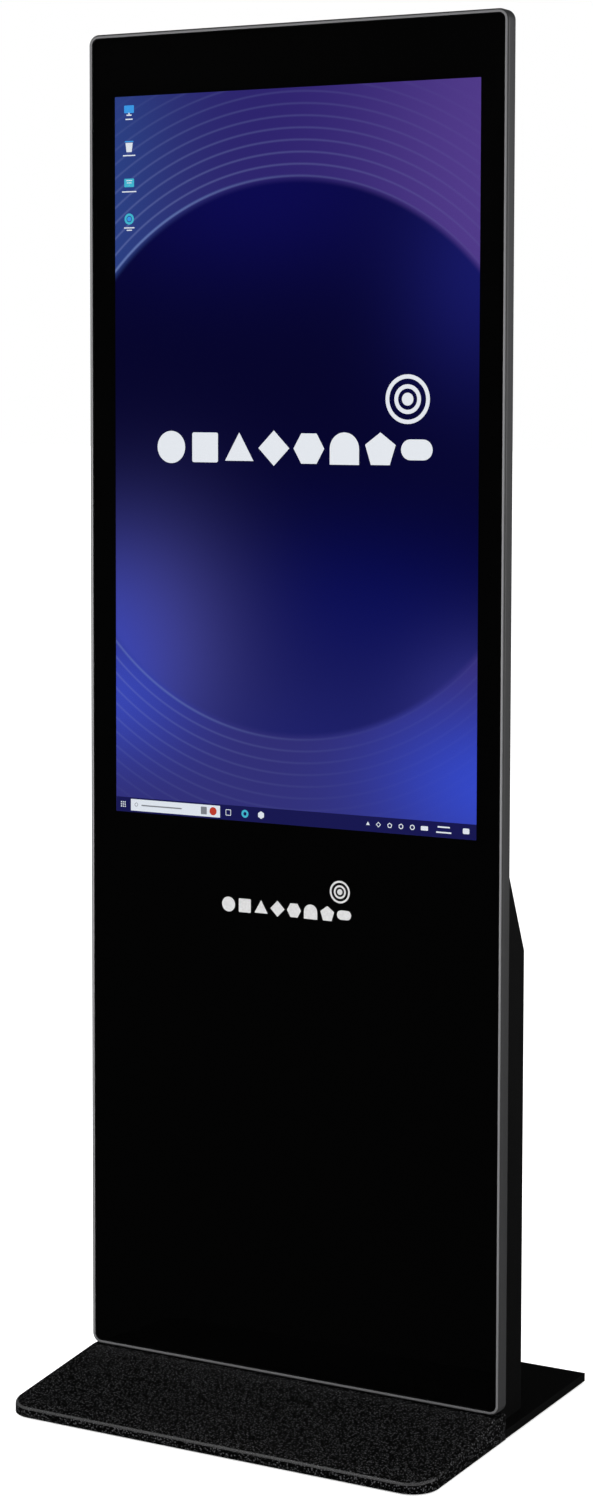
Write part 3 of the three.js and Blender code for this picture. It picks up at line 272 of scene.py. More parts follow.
def wallpaper():
    """The picture on the screen: a dark disc in front of thin rings, lit violet above and blue below."""
    s = Shader("screen_wallpaper", color=BLACK, rough=1.0, Specular_IOR_Level=0.0, Emission_Strength=1.0)
    split = s.node("SeparateXYZ", Vector=s.coords)
    x = split.outputs["X"]
    z = s.math("SUBTRACT", split.outputs["Z"], SCREEN_MID_Z)
    across = s.math("DIVIDE", x, SCREEN_W / 2)
    up = s.math("DIVIDE", z, SCREEN_H / 2)
    radius = s.math("SQRT", s.math("ADD", s.math("MULTIPLY", x, x), s.math("MULTIPLY", z, z)))

    def spot(centre, size):
        du = s.math("DIVIDE", s.math("SUBTRACT", across, centre[0]), size[0])
        dv = s.math("DIVIDE", s.math("SUBTRACT", up, centre[1]), size[1])
        squared = s.math("ADD", s.math("MULTIPLY", du, du), s.math("MULTIPLY", dv, dv))
        return s.math("EXPONENT", s.math("MULTIPLY", squared, -1.0))

    def lit(colour, glows):
        for centre, size, glow in glows:
            colour = s.mix(spot(centre, size), colour, glow)
        return colour

    def line(at, half_width):
        """One on the circle of radius at, falling to nothing half_width to either side of it."""
        away = s.math("DIVIDE", s.math("ABSOLUTE", s.math("SUBTRACT", radius, at)), half_width)
        return s.math("SUBTRACT", 1.0, away, clamp=True)

    field = lit((0.030, 0.024, 0.160), FIELD_GLOWS)
    disc = lit((0.0012, 0.0009, 0.026), DISC_GLOWS)
    # Rings outside the disc, strongest near it and towards the upper left
    turns = s.math("DIVIDE", s.math("SUBTRACT", radius, DISC_RADIUS), RING_PITCH)
    from_line = s.math("ABSOLUTE", s.math("SUBTRACT", turns, s.math("ROUND", turns)))
    ring = s.math("SUBTRACT", 1.0, s.math("MULTIPLY", from_line, 7.0), clamp=True)
    fade = s.math("SUBTRACT", 1.0, s.math("MULTIPLY", turns, 0.085), clamp=True)
    leftward = s.math("MULTIPLY_ADD", across, -0.11, 0.09)
    upper_left = s.math("ADD", leftward, s.math("MULTIPLY", up, 0.06), clamp=True)
    strength = s.math("MULTIPLY", s.math("MULTIPLY", ring, fade), s.math("ADD", upper_left, 0.03))
    field = s.mix(strength, field, (0.30, 0.36, 0.75))
    edge = s.node("MapRange", Value=radius, From_Min=DISC_RADIUS - 0.010, From_Max=DISC_RADIUS + 0.003)
    edge.interpolation_type = "SMOOTHSTEP"
    picture = s.mix(edge.outputs[0], disc, field)
    # The disc's rim shines on its upper left and, less, on its lower left
    lower_shine = s.math("MULTIPLY", spot((-0.8, -0.66), (0.5, 0.3)), 0.4)
    shine = s.math("ADD", spot((-1.0, 0.62), (0.62, 0.50)), lower_shine)
    rim = s.math("MULTIPLY", line(DISC_RADIUS + 0.001, 0.0024), s.math("MULTIPLY", shine, 0.75), clamp=True)
    s.link(s.mix(rim, picture, (0.16, 0.24, 0.55)), "Emission Color")
    return s.mat


# The frame's front lip is made lighter than its sides: painted light, a lit copy of the same aluminium on the
# front faces
PAINTED_LIT_LIP = anodised("painted_lit_lip", low=0.36, high=0.44, rough=0.46)
# The covers and the plate have a finer, flatter coat than the ramp
SMOOTH_COAT = powder_coat("smooth_powder_coat", 0.0020, 0.0085, rough=0.52, depth=0.3 * MM, fineness=3.0)
# The bend of the ramp's nose is made paler, a painted highlight, so that it shows as a line of light
NOSE_HIGHLIGHT_COAT = powder_coat("painted_highlight_coat", 0.0550, 0.1250, rough=0.40, depth=0.2 * MM, fineness=2.0)

MATERIALS = {
    "powder_coat": powder_coat("powder_coat", 0.0005, 0.0650, rough=0.46, depth=0.9 * MM),
    "anodised_frame": anodised("anodised_aluminium", low=0.075, high=0.105, rough=0.42),
    # Low-iron tempered glass
    "front_glass": Shader("clear_glass", (0.97, 0.985, 0.98), 0.0, Transmission_Weight=1.0, IOR=1.5).mat,
    # Ceramic print fused to the back of the glass, so it has almost no gloss of its own
    "black_print": led_by(
        "black_print", lambda s: s.noise(700),
        ((0.3, (0.0004, 0.0004, 0.0005)), (0.8, (0.0010, 0.0010, 0.0012))), 0.7, Specular_IOR_Level=0.05),
    "screen": wallpaper(),
    "foam_tape": led_by(
        "foam_tape", lambda s: s.cells(1500),
        ((0.1, (0.008, 0.008, 0.008)), (0.6, (0.035, 0.035, 0.035))), 0.95, relief=(0.6, 0.2 * MM)),
    "zinc_steel": zinc_steel(),
    "acrylic": led_by(
        "frosted_acrylic", lambda s: s.cells(240),
        ((0.15, (0.78, 0.79, 0.80)), (0.4, (0.62, 0.63, 0.65))), 0.45),
    "aluminium_case": led_by(
        "folded_aluminium", lambda s: s.noise(220, detail=3, coords=s.stretched((1, 1, 20))),
        ((0.3, (0.48, 0.48, 0.49)), (0.7, (0.62, 0.62, 0.63))), 0.35, metal=1.0, gloss=(0.26, 0.44)),
    "rubber": led_by(
        "soft_rubber", lambda s: s.noise(900, detail=3),
        ((0.3, (0.010, 0.010, 0.010)), (0.7, (0.022, 0.021, 0.020))), 0.85, relief=(0.3, 0.1 * MM)),
    "black_plastic": moulded_plastic(),
    "chrome": led_by(
        "nickel_plate", lambda s: s.noise(180, detail=4, rough=0.7),
        ((0.35, (0.58, 0.57, 0.55)), (0.7, (0.72, 0.71, 0.69))), 0.16, metal=1.0, gloss=(0.10, 0.26)),
    "circuit_board": circuit_board(),
    "speaker_cone": led_by(
        "coated_paper", lambda s: s.noise(700, detail=5, rough=0.7),
        ((0.3, (0.010, 0.009, 0.008)), (0.75, (0.035, 0.032, 0.029))), 0.8, relief=(0.4, 0.15 * MM)),
}
SLOT_OF = {part["node"]: part["material_slot"] for part in frame["record"]["subparts"]}
BODY_OF = {node: body for body, nodes in frame["record"]["behaviour"]["bodies"].items() for node in nodes}


# ---- Mesh helpers ----
def piece(name, mesh, body, slot, material=None):
    """A finished piece riding on its body, in its slot's material unless another is given."""
    obj = bpy.data.objects.new(name, mesh)
    bpy.context.scene.collection.objects.link(obj)
    mesh.materials.clear()
    mesh.materials.append(material or MATERIALS[slot])
    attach(obj, body)
    return obj


def mesh_from(name, points, faces, smooth=True):
    mesh = bpy.data.meshes.new(name)
    mesh.from_pydata([tuple(p) for p in points], [], faces)
    bm = bmesh.new()
    bm.from_mesh(mesh)
    bmesh.ops.recalc_face_normals(bm, faces=bm.faces)
    bm.to_mesh(mesh)
    bm.free()
    for polygon in mesh.polygons:
        polygon.use_smooth = smooth
    return mesh


def shaped(name, points, faces, body, slot, node=None, crease=38, material=None):
    """A finished piece from points and faces: edges sharper than crease, in degrees, stay sharp."""
    obj = piece(name, mesh_from(name, points, faces), body, slot, material)
    obj.data.set_sharp_from_angle(angle=math.radians(crease))
    if node:
        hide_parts(node)
    return obj


def soften(obj, width):
    """Rounds an object's sharp edges as real ones are, and keeps its flat faces flat."""
    bevel = obj.modifiers.new("edges", "BEVEL")
    bevel.width = width
    bevel.segments = 2
    bevel.limit_method = "ANGLE"
    bevel.angle_limit = math.radians(35)
    bevel.use_clamp_overlap = True
    weights = obj.modifiers.new("flats", "WEIGHTED_NORMAL")
    weights.keep_sharp = True
    weights.weight = 100


def refined(node, width, material=None):
    """A finished piece from a CAD node: its triangles joined into clean faces, its edges softened."""
    source = NODES[node]
    bm = bmesh.new()
    bm.from_mesh(source.data)
    bmesh.ops.remove_doubles(bm, verts=bm.verts, dist=2e-6)
    bmesh.ops.dissolve_limit(bm, angle_limit=math.radians(0.6), verts=bm.verts, edges=bm.edges)
    mesh = bpy.data.meshes.new("fine_" + node)
    bm.to_mesh(mesh)
    bm.free()
    for polygon in mesh.polygons:
        polygon.use_smooth = True
    obj = piece("fine_" + node, mesh, BODY_OF[node], SLOT_OF[node], material)
    soften(obj, width)
    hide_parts(node)


def rounded_outline(half_u, half_v, radius, steps):
    """Points of a rectangle with round corners about the origin, counter-clockwise."""
    points = []
    for cu, cv, start in ((1, 1, 0), (-1, 1, 90), (-1, -1, 180), (1, -1, 270)):
        for i in range(steps + 1):
            a = math.radians(start + 90 * i / steps)
            u = cu * (half_u - radius) + radius * math.cos(a)
            v = cv * (half_v - radius) + radius * math.sin(a)
            points.append((u, v))
    return points


def skin(rings, closed=False):
    """Faces through rings of equal length. A closed skin joins its last ring to its first."""
    count = len(rings[0])
    points = [p for ring in rings for p in ring]
    faces = []
    spans = len(rings) if closed else len(rings) - 1
    for r in range(spans):
        for i in range(count):
            a = r * count + i
            b = r * count + (i + 1) % count
            c = ((r + 1) % len(rings)) * count + (i + 1) % count
            d = ((r + 1) % len(rings)) * count + i
            faces.append((a, b, c, d))
    if not closed:
        last = (len(rings) - 1) * count
        faces.append(tuple(reversed(range(count))))
        faces.append(tuple(last + i for i in range(count)))
    return points, faces


# ---- Front panel ----
FRAME_CORNER = 14 * MM
FRAME_LIP = 5 * MM
FRAME_SHELF = 10 * MM
FRAME_ROUND = 3 * MM
POCKET_DEPTH = 7 * MM


def panel_ring(inset, y):
    """The panel's outline, drawn in by inset, at depth y."""
    corner = max(FRAME_CORNER - inset, 1.5 * MM)
    outline = rounded_outline(PANEL_W / 2 - inset, PANEL_H / 2 - inset, corner, steps=16)
    return [(u, y, PANEL_MID_Z + v) for u, v in outline]


def front_frame():
    """The aluminium section swept round the panel: a round outer edge, a lip, a rebate and a shelf."""
    front, back = PANEL_LOW.y, PANEL_HIGH.y
    section = []
    steps = 8
    for i in range(steps + 1):
        a = math.radians(90 * i / steps)
        section.append((FRAME_ROUND * (1 - math.sin(a)), front + FRAME_ROUND * (1 - math.cos(a))))
    edge = 0.35 * MM
    section += [(0, back - edge), (edge, back)]
    shelf_inset = FRAME_LIP + FRAME_SHELF
    section += [(shelf_inset, back), (shelf_inset, front + POCKET_DEPTH), (FRAME_LIP, front + POCKET_DEPTH)]
    section += [(FRAME_LIP, front + edge), (FRAME_LIP - edge, front)]
    points, faces = skin([panel_ring(inset, y) for inset, y in section], closed=True)
    obj = shaped("frame_extrusion", points, faces, "kiosk", "anodised_frame", "front_frame", crease=30)
    # The faces towards the visitor take the lit copy: painted light on the lip
    obj.data.materials.append(PAINTED_LIT_LIP)
    for polygon in obj.data.polygons:
        painted_light_face = polygon.normal.y < -0.93 and polygon.center.y < front + FRAME_ROUND
        polygon.material_index = 1 if painted_light_face else 0


def front_glass():
    """The glass plate, with ground and polished edges."""
    gap = GLASS_LOW.x - PANEL_LOW.x
    front, back = GLASS_LOW.y, GLASS_HIGH.y
    arris = 0.5 * MM
    rings = [(gap + arris, front), (gap, front + arris), (gap, back - arris), (gap + arris, back)]
    points, faces = skin([panel_ring(inset, y) for inset, y in rings])
    shaped("glass_plate", points, faces, "kiosk", "front_glass", "front_glass", crease=30)


# ---- Base ----
BASE_CORNER = 35 * MM
RAMP_NOSE_TOP = 14 * MM
RAMP_SHEET = 2 * MM
RAMP_BEND = 4 * MM
RAMP_FOLD = 5 * MM


def base_ramp_cover():
    """The folded ramp: a round bend runs along its nose, round both front corners and up both sides."""
    front, back = RAMP_LOW.y, RAMP_HIGH.y
    crest_y, crest_z = PANEL_LOW.y, RAMP_HIGH.z
    slope = (crest_z - RAMP_NOSE_TOP) / (crest_y - front)

    def top_at(y):
        """Height of the sheet: level behind the crest, falling in front of it, with a soft fold between."""
        if y >= crest_y + RAMP_FOLD:
            return crest_z
        if y <= crest_y - RAMP_FOLD:
            return crest_z - (crest_y - y) * slope
        return crest_z - slope * (crest_y + RAMP_FOLD - y) ** 2 / (4 * RAMP_FOLD)

    def outline(inset):
        """From the back left corner round the nose to the back right corner, symmetric about x = 0."""
        side = RAMP_HIGH.x - inset
        radius = BASE_CORNER - inset
        corner_y = front + inset + radius
        fold_steps, side_steps, corner_steps = 8, 10, 18
        ys = [back]
        ys += [crest_y + RAMP_FOLD * (1 - 2 * i / fold_steps) for i in range(fold_steps + 1)]
        ys += [ys[-1] + (corner_y - ys[-1]) * i / side_steps for i in range(1, side_steps)]
        left = [(-side, y) for y in ys]
        for i in range(corner_steps + 1):
            a = math.radians(180 + 90 * i / corner_steps)
            left.append((-side + radius + radius * math.cos(a), corner_y + radius * math.sin(a)))
        return left + [(-x, y) for x, y in reversed(left)]

    bend_steps = 8
    plate_way = PLATE_TOP + 0.3 * MM
    rings = [[(x, y, RAMP_LOW.z) for x, y in outline(0)]]
    rings.append([(x, y, min(plate_way, top_at(y) - RAMP_BEND)) for x, y in outline(0)])
    for i in range(bend_steps + 1):
        a = math.radians(90 * i / bend_steps)
        inset = RAMP_BEND * (1 - math.cos(a))
        drop = RAMP_BEND * (1 - math.sin(a))
        rings.append([(x, y, top_at(y) - drop) for x, y in outline(inset)])
    count = len(rings[0])
    points = [p for ring in rings for p in ring]
    faces = []
    for r in range(len(rings) - 1):
        for i in range(count - 1):
            a = r * count + i
            faces.append((a, a + 1, a + 1 + count, a + count))
    # The top is ruled across from each left point to its mirror point
    last = (len(rings) - 1) * count
    for i in range(count // 2 - 1):
        faces.append((last + i, last + i + 1, last + count - 2 - i, last + count - 1 - i))
    # The rear wall stands on the base plate
    upper = range(1, len(rings))
    faces.append(tuple([r * count for r in upper] + [r * count + count - 1 for r in reversed(upper)]))
    obj = shaped("ramp_skin", points, faces, "kiosk", "powder_coat", "base_ramp_cover", crease=40)
    # The bend's faces take the paler coat: a painted highlight along the nose
    obj.data.materials.append(NOSE_HIGHLIGHT_COAT)
    for polygon in obj.data.polygons:
        on_the_bend = 0.35 < polygon.normal.z < 0.97 and polygon.normal.y < -0.2
        polygon.material_index = 1 if on_the_bend else 0
    thick = obj.modifiers.new("sheet", "SOLIDIFY")
    thick.thickness = RAMP_SHEET
    thick.offset = -1


# ---- The picture on the screen, and the print on the glass ----
def circle(radius, u=0.0, v=0.0, sides=40):
    turn = 2 * math.pi / sides
    return [(u + radius * math.cos(turn * i), v + radius * math.sin(turn * i)) for i in range(sides)]


def polygon(radius, sides, v=0.0, start=90.0):
    turn = 360 / sides
    angles = [math.radians(start + turn * i) for i in range(sides)]
    return [(radius * math.cos(a), v + radius * math.sin(a)) for a in angles]


def bar(width, height, u=0.0, v=0.0, corner=0.0):
    """A rectangle about (u, v), with round corners if asked for."""
    if corner <= 0:
        half = ((1, 1), (-1, 1), (-1, -1), (1, -1))
        return [(u + su * width / 2, v + sv * height / 2) for su, sv in half]
    return [(u + pu, v + pv) for pu, pv in rounded_outline(width / 2, height / 2, corner, 6)]


def half_disc(radius):
    sides = 20
    angles = [math.pi * i / sides for i in range(sides + 1)]
    return [(radius * math.cos(a), radius * math.sin(a)) for a in angles]


SHEET_DEPTH = 0.06 * MM


class Sheet:
    """Thin flat shapes on one plane that faces the visitor, gathered into one mesh."""

    def __init__(self, name, y, material, slot):
        self.name, self.y, self.material, self.slot = name, y, material, slot
        self.points, self.faces = [], []

    def fill(self, outline, at=(0.0, 0.0)):
        """A solid shape: outline runs counter-clockwise as the visitor sees it."""
        front = [(at[0] + u, self.y - SHEET_DEPTH, at[1] + v) for u, v in outline]
        back = [(x, self.y, z) for x, _, z in front]
        base = len(self.points)
        count = len(outline)
        self.points += front + back
        self.faces.append(tuple(base + i for i in range(count)))
        self.faces.append(tuple(base + count + i for i in reversed(range(count))))
        for i in range(count):
            j = (i + 1) % count
            self.faces.append((base + j, base + i, base + count + i, base + count + j))

    def band(self, outer, inner, at=(0.0, 0.0)):
        """A hollow shape between two outlines with the same number of points."""
        count = len(outer)
        base = len(self.points)
        for y in (self.y - SHEET_DEPTH, self.y):
            for outline in (outer, inner):
                self.points += [(at[0] + u, y, at[1] + v) for u, v in outline]
        front_out, front_in, back_out, back_in = (base + k * count for k in range(4))
        for i in range(count):
            j = (i + 1) % count
            self.faces.append((front_out + i, front_out + j, front_in + j, front_in + i))
            self.faces.append((back_out + j, back_out + i, back_in + i, back_in + j))
            self.faces.append((front_out + j, front_out + i, back_out + i, back_out + j))
            self.faces.append((front_in + i, front_in + j, back_in + j, back_in + i))

    def finish(self):
        mesh = mesh_from(self.name, self.points, self.faces, smooth=False)
        piece(self.name, mesh, "kiosk", self.slot, self.material)


def plain_shapes(size):
    """The mark's eight plain geometric shapes, each in a square of the given size."""
    r = size / 2
    return (
        circle(r),
        bar(size * 0.92, size * 0.92, corner=size * 0.06),
        polygon(r * 1.16, 3, v=-r * 0.22),
        polygon(r * 1.08, 4),
        polygon(r * 1.06, 6, start=0),
        [(-r, -r * 0.95), (r, -r * 0.95)] + half_disc(r),
        polygon(r * 1.08, 5, v=-r * 0.06),
        bar(size * 1.05, size * 0.62, corner=size * 0.31),
    )


def generic_mark(sheet, centre, width, size, touch):
    """A row of plain shapes in place of a name, with a touch symbol over its right end."""
    x, z = centre
    shapes = plain_shapes(size)
    pitch = (width - size) / (len(shapes) - 1)
    for i, shape in enumerate(shapes):
        sheet.fill(shape, (x - width / 2 + size / 2 + pitch * i, z))
    spot = (x + width / 2 - touch * 0.55, z + size / 2 + touch * 0.68)
    line = touch * 0.085
    for radius in (touch * 0.5, touch * 0.3):
        sheet.band(circle(radius), circle(radius - line), spot)
    sheet.fill(circle(touch * 0.13, sides=24), spot)


UI_Y = LCD_LOW.y - 0.10 * MM
UI_TOP_Y = LCD_LOW.y - 0.20 * MM
TASKBAR_H = 19.5 * MM


def on_screen(u, v):
    """A place u mm from the picture's left edge and v mm below its top edge, as x and z."""
    return (-SCREEN_W / 2 + u * MM, SCREEN_LOW_Z + SCREEN_H - v * MM)


def desktop_icons(white, blue, teal):
    """Four plain icons down the left edge, each over two short label bars."""
    column = 21.5
    rows = (18.0, 65.0, 112.0, 159.0)
    screen, bin_, window, disc = (on_screen(column, v) for v in rows)
    blue.fill(bar(15 * MM, 10 * MM, v=1.5 * MM, corner=1 * MM), screen)
    white.fill(bar(8 * MM, 1.6 * MM, v=-6.2 * MM), screen)
    white.fill(bar(2 * MM, 2.4 * MM, v=-4.4 * MM), screen)
    white.fill([(-4 * MM, -7 * MM), (4 * MM, -7 * MM), (5.5 * MM, 5 * MM), (-5.5 * MM, 5 * MM)], bin_)
    blue.fill(bar(13 * MM, 1.6 * MM, v=6.6 * MM), bin_)
    teal.fill(bar(15 * MM, 11 * MM, corner=1 * MM), window)
    for k in range(3):
        white.fill(bar((9 - 2 * k) * MM, 1.2 * MM, v=(3 - 3 * k) * MM), window)
    teal.band(circle(7.2 * MM), circle(4.2 * MM), disc)
    blue.fill(circle(3.2 * MM, sides=24), disc)
    for centre, label in zip((screen, bin_, window, disc), (11, 19, 22, 16)):
        white.fill(bar(label * MM, 1.5 * MM, v=-11.5 * MM), centre)
    white.fill(bar(8 * MM, 1.5 * MM, v=-14.6 * MM), disc)


def taskbar(white, blue, teal, grey, red):
    """Menu dots, a search box and three icons on the left; small signs and a clock on the right."""
    middle = SCREEN_H / MM - TASKBAR_H / MM / 2
    menu = on_screen(10.5, middle)
    for i in (-1, 0, 1):
        for j in (-1, 0, 1):
            white.fill(circle(0.95 * MM, i * 2.9 * MM, j * 2.9 * MM, sides=12), menu)
    search = on_screen(91, middle)
    white.fill(bar(137 * MM, 15.5 * MM), search)
    lens = (search[0] - 60 * MM, search[1] + 0.6 * MM)
    grey.band(circle(2.6 * MM, sides=20), circle(1.9 * MM, sides=20), lens)
    grey.fill(bar(62 * MM, 1.7 * MM, -21 * MM), search)
    red.fill(circle(5.4 * MM, 58 * MM, sides=24), search)
    grey.fill(bar(9 * MM, 10 * MM, 44 * MM, corner=1 * MM), search)
    opening = bar(6.4 * MM, 6.4 * MM, corner=0.5 * MM)
    white.band(bar(8 * MM, 8 * MM, corner=0.8 * MM), opening, on_screen(172, middle))
    teal.band(circle(5.2 * MM, sides=24), circle(2.4 * MM, sides=24), on_screen(197, middle))
    white.fill(polygon(5 * MM, 6), on_screen(221, middle))
    for k, u in enumerate((392, 408, 424, 440)):
        spot = on_screen(u, middle)
        white.band(polygon(3.6 * MM, 4 + k), polygon(2.4 * MM, 4 + k), spot)
    white.fill(polygon(3 * MM, 3), on_screen(377, middle))
    white.fill(bar(10 * MM, 5.5 * MM, corner=0.8 * MM), on_screen(457, middle))
    for k, width in enumerate((17, 21)):
        white.fill(bar(width * MM, 1.8 * MM), on_screen(484, middle - 3.4 + 6.8 * k))
    white.fill(bar(9 * MM, 7 * MM, corner=1.6 * MM), on_screen(515, middle - 0.5))


def screen_picture():
    """The icons, the task bar and the mark, in front of the wallpaper: one lit sheet for each colour."""
    sheets = {}
    for name, y, color in (
        ("white", UI_TOP_Y, (0.80, 0.84, 0.92)),
        ("symbols", UI_TOP_Y, (0.86, 0.88, 0.94)),
        ("blue", UI_TOP_Y, (0.05, 0.34, 0.85)),
        ("teal", UI_TOP_Y, (0.06, 0.50, 0.68)),
        ("grey", UI_TOP_Y - 0.10 * MM, (0.22, 0.23, 0.26)),
        ("red", UI_TOP_Y - 0.10 * MM, (0.55, 0.05, 0.03)),
        ("taskbar", UI_Y, (0.0095, 0.0095, 0.088)),
    ):
        sheets[name] = Sheet("screen_" + name, y, glowing("screen_" + name, color), "screen")
    white, mark, blue, teal, grey, red, navy = sheets.values()
    navy.fill(bar(SCREEN_W, TASKBAR_H), (0.0, SCREEN_LOW_Z + TASKBAR_H / 2))
    desktop_icons(white, blue, teal)
    taskbar(white, blue, teal, grey, red)
    generic_mark(mark, (0.0, SCREEN_LOW_Z + SCREEN_H * 0.515), 400 * MM, 42 * MM, 62 * MM)
    for sheet in sheets.values():
        sheet.finish()


def printed_mark():
    """White screen print on the glass, below the picture."""
    white = painted("white_print", (0.62, 0.62, 0.62))
    ink = Sheet("printed_symbols", GLASS_LOW.y - 0.01 * MM, white, "black_print")
    generic_mark(ink, (-5 * MM, PANEL_LOW.z + 617 * MM), 190 * MM, 19.5 * MM, 29 * MM)
    ink.finish()


# ---- Turned pieces, screws and small fittings ----
# Blackened steel, rubbed brighter in patches
BLACK_STEEL = led_by(
    "black_steel", lambda s: s.noise(500, detail=3),
    ((0.35, (0.05, 0.05, 0.052)), (0.7, (0.13, 0.13, 0.13))), 0.35, metal=1.0, gloss=(0.28, 0.45))
WHITE_PAINT = painted("white_paint", (0.62, 0.62, 0.62))
BLUE_PLASTIC = painted("blue_plastic", (0.02, 0.08, 0.35), 0.4)
BRASS = Shader("brass_contacts", color=(0.62, 0.46, 0.20), rough=0.25, metal=1.0)
BRASS.link(BRASS.between(BRASS.noise(900), 0.18, 0.36), "Roughness")
BRASS = BRASS.mat


def turned(name, profile, centre, body, slot, node, axis="Y", material=None):
    """A piece turned on a lathe: profile is (radius, along) from one end of the axis to the other."""
    rings = []
    for radius, along in profile:
        ring = circle(max(radius, 0.02 * MM), *centre, sides=64)
        rings.append([(u, along, v) if axis == "Y" else (u, v, along) for u, v in ring])
    shaped(name, *skin(rings), body, slot, node, material=material)


def hexagon_ring(apothem, sides):
    """Points of a hexagon, as many as a circle of the same number of sides has."""
    points = []
    for i in range(sides):
        a = 2 * math.pi * i / sides
        within = (a + math.pi / 6) % (math.pi / 3) - math.pi / 6
        points.append((apothem / math.cos(within) * math.cos(a), apothem / math.cos(within) * math.sin(a)))
    return points


def screws(name, body, spots, radius):
    """Button-head screws with hexagon sockets, heads towards +Y, joined into one mesh."""
    sides = 24
    points, faces = [], []
    for x, y, z in spots:
        rings = []
        for k in range(6):
            a = math.radians(15 * k)
            crown = radius * (0.45 + 0.55 * math.cos(a))
            height = radius * 0.62 * math.sin(a)
            rings.append([(u, height, v) for u, v in circle(crown, sides=sides)])
        for depth in (0.60, 0.16):
            rings.append([(u, radius * depth, v) for u, v in hexagon_ring(radius * 0.42, sides)])
        local, local_faces = skin(rings)
        base = len(points)
        points += [(x + px, y + py, z + pz) for px, py, pz in local]
        faces += [tuple(base + i for i in face) for face in local_faces]
    shaped(name, points, faces, body, "zinc_steel", crease=35, material=BLACK_STEEL)


def cover_screws():
    edge = 10 * MM
    x = COVER_HIGH.x - edge
    low, high = COVER_LOW.z + 25 * MM, COVER_HIGH.z - 25 * MM
    rows = 5
    zs = [low + (high - low) * i / (rows - 1) for i in range(rows)]
    spots = [(side * x, COVER_HIGH.y, z) for side in (-1, 1) for z in zs]
    ends = (zs[0] - 12 * MM, zs[-1] + 10 * MM)
    spots += [(side * x / 3, COVER_HIGH.y, z) for side in (-1, 1) for z in ends]
    screws("cover_screws", "kiosk", spots, 3.6 * MM)
    zs = [CABINET_BOTTOM + 20 * MM, 0.21, 0.40, 0.585]
    spots = [(side * x, REAR_Y, z) for side in (-1, 1) for z in zs]
    screws("cabinet_screws", "kiosk", spots, 3.6 * MM)


def hinge_screws():
    for level in ("lower", "upper"):
        for leaf, body in (("fixed", "kiosk"), ("door", "door")):
            low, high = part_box(f"hinge_{leaf}_leaf_{level}")
            # The flat of the leaf lies on the far side of the knuckle
            x = high.x - 8 * MM if leaf == "fixed" else low.x + 8 * MM
            face = low.y + 2 * MM
            spots = [(x, face, low.z + 8 * MM), (x, face, high.z - 8 * MM)]
            screws(f"hinge_{leaf}_screws_{level}", body, spots, 2.7 * MM)


FAN_SCREW_INSET = 4.25 * MM
SPEAKER_SCREW_REACH = 29 * MM


def fitting_screws():
    spots = []
    for fan in ("left", "right"):
        low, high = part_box(f"fan_housing_{fan}")
        xs = (low.x + FAN_SCREW_INSET, high.x - FAN_SCREW_INSET)
        zs = (low.z + FAN_SCREW_INSET, high.z - FAN_SCREW_INSET)
        spots += [(x, REAR_Y, z) for x in xs for z in zs]
    for side in ("left", "right"):
        low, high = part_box(f"speaker_{side}")
        middle = (low + high) / 2
        reach = SPEAKER_SCREW_REACH
        spots += [(middle.x + u * reach, REAR_Y, middle.z + v * reach) for u in (-1, 1) for v in (-1, 1)]
    screws("fan_and_speaker_screws", "kiosk", spots, 2.6 * MM)
    flange = []
    for node in ("inlet_module", "port_panel"):
        low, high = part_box(node)
        flange += [(x, high.y, SOCKET_ROW_Z) for x in (low.x + 3.4 * MM, high.x - 3.4 * MM)]
    screws("flange_screws", "kiosk", [spot for spot in flange if spot[0] > -0.1], 1.7 * MM)


def face_centre(node):
    """The middle of a round fitting as it is seen from behind, as x and z."""
    low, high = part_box(node)
    return ((low.x + high.x) / 2, (low.z + high.z) / 2)


COLLAR_SLEEVE = 8 * MM
COLLAR_SOFT = 0.6 * MM


def collar_profile(low, high, bore, bore_edge):
    """Section of a flanged collar: a sleeve through the sheet, then a flange with soft edges."""
    flange = (high.x - low.x) / 2
    seat = REAR_Y + 0.3 * MM
    profile = [(bore, low.y), (COLLAR_SLEEVE, low.y), (COLLAR_SLEEVE, seat), (flange, seat)]
    profile += [(flange, high.y - COLLAR_SOFT), (flange - 0.2 * MM, high.y - 0.2 * MM)]
    profile += [(flange - COLLAR_SOFT, high.y), (bore + bore_edge, high.y), (bore, high.y - bore_edge)]
    return profile


def lock_collar():
    node = "lock_housing"
    low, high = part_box(node)
    profile = collar_profile(low, high, bore=5.6 * MM, bore_edge=0.3 * MM)
    ring_of("lock_collar", profile, face_centre(node), "door", "chrome", node)


def push_button():
    """The button's bezel, its plunger and the lit ring in the plunger's face."""
    node = "power_button_bezel"
    centre = face_centre(node)
    low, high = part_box(node)
    bore = 6.4 * MM
    profile = [(bore, REAR_Y - 12 * MM)] + collar_profile(low, high, bore, bore_edge=0.4 * MM)
    ring_of("button_bezel", profile, centre, "kiosk", "chrome", node)

    low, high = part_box("power_button")
    radius, face = (high.x - low.x) / 2, high.y
    profile = [(0, low.y), (radius, low.y), (radius, face - 1.5 * MM)]
    profile += [(radius - 0.25 * MM, face - 0.9 * MM), (radius - 0.9 * MM, face - 0.5 * MM)]
    profile += [(radius / 2, face - 0.12 * MM), (0, face)]
    turned("push_button", profile, centre, "button", "black_plastic", "power_button")

    inner, outer = 4.1 * MM, 4.7 * MM
    ring = [(inner, face - 0.45 * MM), (inner, face - 0.05 * MM)]
    ring += [(outer, face - 0.12 * MM), (outer, face - 0.6 * MM)]
    glow = glowing("button_light", (0.25, 0.55, 1.0))
    ring_of("button_light_ring", ring, centre, "button", "black_plastic", material=glow)


